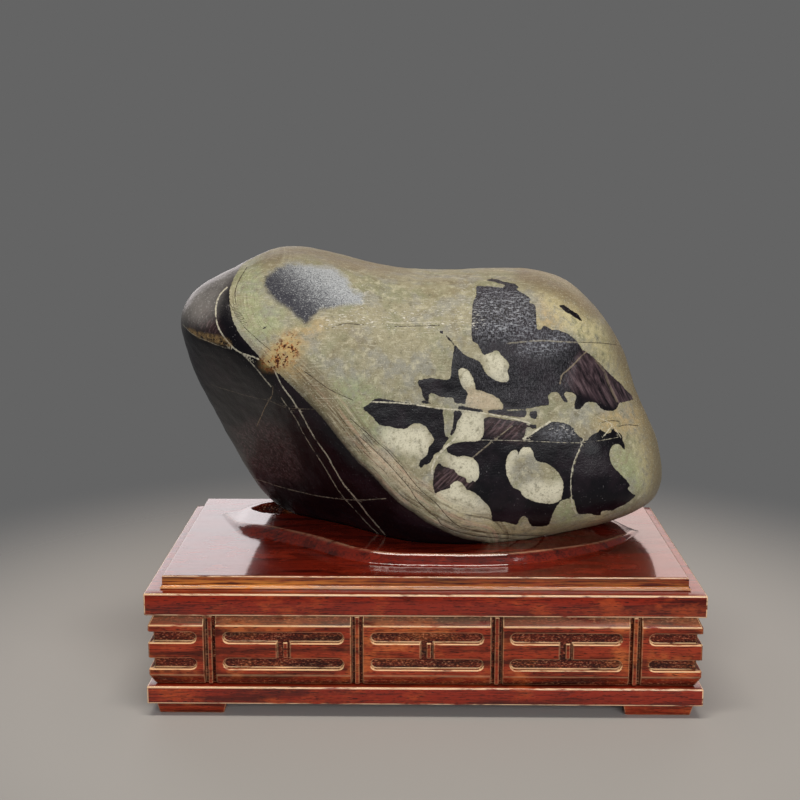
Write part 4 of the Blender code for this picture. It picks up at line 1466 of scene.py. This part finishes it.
@dataclass(frozen=True)
class PlainBoard:
    """A board with rounded edges, planed by hand and so a little wavy."""

    name: str
    node: str
    rounding: float = 1.1
    rounding_steps: int = 3
    # Edges over this length are cut, so many times along each side of the board.
    long_edge: float = 60.0
    long_cuts: int = 48
    short_cuts: int = 28
    # Faces that turn by less than this many degrees from an axis are flat.
    flat_turn: float = 14.0
    wave: float = 0.22
    wave_size: float = 38.0

    def build(self, finish: bpy.types.Material) -> bpy.types.Object:
        """Models the board.

        Args:
            finish: The board's material.

        Returns:
            The finished piece.
        """
        low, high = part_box(self.node)
        bpy.ops.mesh.primitive_cube_add(size=1, location=(low + high) / 2)
        piece = bpy.context.object
        piece.name = self.name
        piece.scale = high - low
        bpy.ops.object.transform_apply(location=True, rotation=True, scale=True)
        mesh = piece.data
        with editing(piece):
            bpy.ops.mesh.select_all(action="SELECT")
            bpy.ops.mesh.bevel(
                offset=self.rounding * MM, segments=self.rounding_steps, affect="EDGES")
        for axis, cuts in ((0, self.long_cuts), (1, self.short_cuts)):
            self.cut_across(piece, axis, cuts)
        places, normals = triples(mesh.vertices) / MM, triples(mesh.vertices, "normal")
        lift = np.array([noise.noise(Vector(p) / self.wave_size) for p in places])
        write_places(mesh, (places - normals * (self.wave * (1 + lift) / 2)[:, None]) * MM)
        # The rounded edges carry a painted highlight and wear.
        write_values(mesh, "edge", self.rounded_faces(mesh), "FACE")
        mesh.shade_smooth()
        dress(piece, finish, self.node)
        return piece

    def cut_across(self, piece: bpy.types.Object, axis: int, cuts: int) -> None:
        """Divides the board's long edges along one axis."""
        mesh = piece.data
        places = triples(mesh.vertices)
        ends = np.empty(2 * len(mesh.edges), np.int32)
        mesh.edges.foreach_get("vertices", ends)
        run = places[ends[1::2]] - places[ends[::2]]
        subdivide(piece, "EDGE", np.abs(run[:, axis]) > self.long_edge * MM, cuts)

    def rounded_faces(self, mesh: bpy.types.Mesh) -> np.ndarray:
        """Gives 1 for each face that belongs to a rounded edge, and 0 for a flat one."""
        flatness = np.abs(triples(mesh.polygons, "normal")).max(axis=1)
        return (flatness < math.cos(math.radians(self.flat_turn))).astype(float)


@dataclass(frozen=True)
class CarvedPiece:
    """A foot: the CAD solid with its arrises softened."""

    name: str
    node: str
    softening: float = 0.7
    softening_steps: int = 3
    # How strongly the painted highlight and wear show on arrises that face up and on those that don't, and the
    # painted highlight on chamfers.
    upper_highlight_and_wear: float = 1.0
    lower_highlight_and_wear: float = 0.25
    upper_rise: float = 0.15
    chamfer_highlight: float = 0.12
    chamfer_rise: tuple[float, float] = (0.3, 0.9)
    # The turns, in degrees: faces merge below the first, arrises are softened from the second
    # up, and edges stay sharp to the eye above the third.
    flat_turn: float = 0.5
    least_turn: float = 24.0
    sharp_turn: float = 35.0

    def soften(self, piece: bpy.types.Object) -> None:
        """Rounds the piece's arrises and marks the rounded faces as its edges, with a painted highlight and wear,
        stronger where they face up, and a painted highlight on chamfers.
        """
        with editing(piece):
            bpy.ops.mesh.select_all(action="SELECT")
            bpy.ops.mesh.dissolve_limited(angle_limit=math.radians(self.flat_turn))
        mesh = piece.data
        for _ in range(2):
            mesh.materials.append(None)
        apply_modifier(
            piece, "BEVEL", width=self.softening * MM, segments=self.softening_steps, material=1,
            limit_method="ANGLE", angle_limit=math.radians(self.least_turn), harden_normals=False)
        slots = np.empty(len(mesh.polygons), np.int32)
        mesh.polygons.foreach_get("material_index", slots)
        rise = triples(mesh.polygons, "normal")[:, 2]
        least, most = self.chamfer_rise
        rounded = np.where(rise > self.upper_rise, self.upper_highlight_and_wear, self.lower_highlight_and_wear)
        sloping = np.where((rise > least) & (rise < most), self.chamfer_highlight, 0.0)
        write_values(mesh, "edge", np.where(slots == 1, rounded, sloping), "FACE")
        mesh.polygons.foreach_set("material_index", np.zeros(len(mesh.polygons), np.int32))
        smooth_below(piece, self.sharp_turn)

    def build(self, finish: bpy.types.Material) -> bpy.types.Object:
        """Models the piece.

        Args:
            finish: The piece's material.

        Returns:
            The finished piece.
        """
        piece = adopted(self.name, self.node)
        self.soften(piece)
        dress(piece, finish, self.node)
        return piece


@dataclass(frozen=True)
class FrettedRail(CarvedPiece):
    """A rail of the frieze, with a raised rib in each of its grooves and stems."""

    turn: float = 0.0
    face: float = 103.2
    grooves: tuple[float, ...] = (-138.5, -43.5, 46.5, 135.5)
    rib_width: float = 3.0
    rib_sink: float = 1.3
    groove_depth: float = 5.0
    fret_depth: float = 3.0
    low: float = 21.0
    high: float = 69.0
    # Ribs end short of their grooves, and the stems' ribs stand a little to one side.
    rib_margin: float = 1.0
    stem_shift: float = 1.2
    stem_low: float = 39.7
    stem_high: float = 50.3
    # How far behind the rail's face the painted shade of the recesses sets in.
    sunk_zone: tuple[float, float] = (0.9, 2.6)

    def add_rib(self, middle: float, low: float, high: float, depth: float) -> bpy.types.Object:
        """Models one rib, from the bottom of its groove to just under the rail's face.

        Args:
            middle: The rib's middle along the rail.
            low: Its lower end.
            high: Its upper end.
            depth: How deep its groove is.

        Returns:
            The rib, turned to the rail's side of the stand.
        """
        thick = depth - self.rib_sink
        forward = self.rib_sink + thick / 2 - self.face
        bpy.ops.mesh.primitive_cube_add(
            size=1, location=(middle * MM, forward * MM, (low + high) / 2 * MM))
        rib = bpy.context.object
        rib.scale = (self.rib_width * MM, thick * MM, (high - low) * MM)
        bpy.ops.object.transform_apply(location=True, rotation=True, scale=True)
        rib.rotation_euler = (0, 0, math.radians(self.turn))
        bpy.ops.object.transform_apply(location=False, rotation=True, scale=False)
        return rib

    def build(self, finish: bpy.types.Material) -> bpy.types.Object:
        """Models the rail.

        Args:
            finish: The rail's material.

        Returns:
            The finished piece.
        """
        piece = adopted(self.name, self.node)
        low, high = self.low + self.rib_margin, self.high - self.rib_margin
        stems = [(a + b) / 2 + self.stem_shift for a, b in zip(self.grooves, self.grooves[1:])]
        ribs = [self.add_rib(x, low, high, self.groove_depth) for x in self.grooves]
        ribs += [self.add_rib(x, self.stem_low, self.stem_high, self.fret_depth) for x in stems]
        select_only(piece)
        for rib in ribs:
            rib.select_set(True)
        bpy.ops.object.join()
        self.soften(piece)
        places = triples(piece.data.vertices) / MM
        turn = math.radians(self.turn)
        inward = self.face + places[:, 1] * math.cos(turn) - places[:, 0] * math.sin(turn)
        # Painted shade in the recesses, deeper behind the rail's face.
        write_values(piece.data, "sunk", smooth_step(*self.sunk_zone, inward))
        dress(piece, finish, self.node)
        return piece


@dataclass(frozen=True)
class Stand:
    """The hardwood stand: two boards, a fretwork frieze, a plinth and four feet."""

    # The end rails' distance out from the stand's middle, and their grooves along them.
    end_face: float = 178.2
    end_grooves: tuple[float, ...] = (-65.0, 0.0, 65.0)

    def build(self, stone: bpy.types.Object) -> list[bpy.types.Object]:
        """Models the stand's pieces.

        Args:
            stone: The finished stone, which the seat is carved to.

        Returns:
            The pieces, from the seat board down.
        """
        polished = LacqueredWood(
            "polished red lacquered hardwood", bright="962E18",
            relief={"wave": 0.03, "ripple": 0.018, "fine": 0.008}).build()
        satin = LacqueredWood(
            "satin red lacquered hardwood", red="8E2612", dark="42100A", bright="B44A20",
            gloss=0.16, coat=0.8).build()
        rail_wood, side_wood = (
            LacqueredWood(
                name, grain, "9C3820", "3A120A", "CC6C38", highlight_and_wear="F7C896", gloss=0.3,
                coat=0.35).build()
            for name, grain in (
                ("carved hardwood", Grain.LENGTHWISE),
                ("carved hardwood, grain across", Grain.CROSSWISE)))
        pieces = [SeatBoard().build(polished, stone)]
        for name, node in (("planed_top_slab", "top_slab"), ("planed_plinth", "plinth")):
            pieces.append(PlainBoard(name, node).build(satin))
        long_side = (FrettedRail.face, FrettedRail.grooves, rail_wood)
        short_side = (self.end_face, self.end_grooves, side_wood)
        for side, turn, (face, grooves, wood) in (
            ("front", 0, long_side), ("right", 90, short_side), ("back", 180, long_side),
            ("left", 270, short_side),
        ):
            rail = FrettedRail(
                f"fretted_rail_{side}", f"frieze_{side}", turn=turn, face=face, grooves=grooves)
            pieces.append(rail.build(wood))
        for side in ("front", "back"):
            for end in ("left", "right"):
                foot = CarvedPiece(f"rounded_foot_{side}_{end}", f"foot_{side}_{end}")
                pieces.append(foot.build(rail_wood))
        return pieces


@dataclass(frozen=True)
class SoftBox:
    """A studio light: a glowing rectangle that no camera sees."""

    name: str
    place: tuple[float, float, float]
    aim: tuple[float, float, float]
    width: float
    height: float
    radiance: float
    colour: str = "FFFFFF"

    def build(self) -> None:
        """Makes the light. Blender's watts are four times radiance times area."""
        data = bpy.data.lights.new(self.name, "AREA")
        data.shape = "RECTANGLE"
        data.size, data.size_y = self.width, self.height
        data.energy = 4 * self.radiance * self.width * self.height
        data.color = linear(self.colour)[:3]
        light = bpy.data.objects.new(self.name, data)
        light.location = self.place
        towards = Vector(self.aim) - Vector(self.place)
        light.rotation_euler = towards.to_track_quat("-Z", "Y").to_euler()
        light.visible_camera = False
        bpy.context.scene.collection.objects.link(light)


@dataclass(frozen=True)
class Studio:
    """The plain pale floor, the grey surroundings and the soft lights. Places are in metres."""

    surroundings: str = "646464"
    floor: str = "B4B2AF"
    floor_size: float = 4.0
    fade_start: float = 0.26
    fade_end: float = 0.60
    boxes: tuple[SoftBox, ...] = (
        SoftBox("overhead strip", (-0.08, -0.55, 1.9), (-0.08, 0.0, 0.15), 1.45, 0.3, 11.5, "FFF6EA"),
        SoftBox("front fill", (0.7, -2.5, 1.0), (0.0, 0.0, 0.15), 2.4, 0.8, 5.0),
        SoftBox("pale wall, left", (-1.6, 4.0, 1.45), (0.0, 0.0, 0.1), 3.0, 2.1, 1.4, "FAF2F4"),
        SoftBox("pale wall, right", (1.5, 4.0, 1.75), (0.0, 0.0, 0.1), 2.6, 1.5, 1.3, "FFE2DA"),
    )

    def build(self) -> None:
        """Makes the floor, the world and the lights."""
        scene = bpy.context.scene
        scene.view_settings.view_transform = "Standard"
        world = bpy.data.worlds.new("surroundings")
        world.use_nodes = True
        world.node_tree.nodes["Background"].inputs["Color"].default_value = linear(self.surroundings)
        scene.world = world
        bpy.ops.mesh.primitive_plane_add(size=self.floor_size)
        floor = bpy.context.object
        floor.name = "studio_floor"
        floor.data.materials.append(self.floor_finish())
        floor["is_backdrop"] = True
        for box in self.boxes:
            box.build()

    def floor_finish(self) -> bpy.types.Material:
        """Makes the floor's matt paper, which fades into the surroundings away from the stand."""
        made = bpy.data.materials.new("matt paper")
        made.use_nodes = True
        tree = made.node_tree
        paper = tree.nodes["Principled BSDF"]
        paper.inputs["Base Color"].default_value = linear(self.floor)
        paper.inputs["Roughness"].default_value = 0.9
        place = add_node(tree, "TexCoord", output="Object")
        distance = add_node(tree, "VectorMath", {0: place}, output="Value", operation="LENGTH")
        share = add_node(tree, "MapRange", {
            "Value": distance, "From Min": self.fade_start, "From Max": self.fade_end,
        }, interpolation_type="SMOOTHSTEP")
        clear = add_node(tree, "BsdfTransparent")
        faded = add_node(tree, "MixShader", {0: share, 1: paper.outputs[0], 2: clear})
        tree.links.new(faded, tree.nodes["Material Output"].inputs["Surface"])
        return made


def main() -> None:
    """Builds the stone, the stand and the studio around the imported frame."""
    logging.basicConfig(level=logging.INFO, format="%(name)s: %(message)s")
    for old in list(bpy.data.objects):
        bpy.data.objects.remove(old, do_unlink=True)
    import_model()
    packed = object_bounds()
    eye = Eye()
    eye.build()
    stone = Stone(eye).build(RiverStone().build())
    pieces = [stone, *Stand().build(stone)]
    Studio().build()
    log.info("%d pieces", len(pieces))
    ({name: [list(corner) for corner in box] for name, box in (
        ("cad", packed), ("visual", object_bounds()))})


if __name__ == "__main__":
    main()
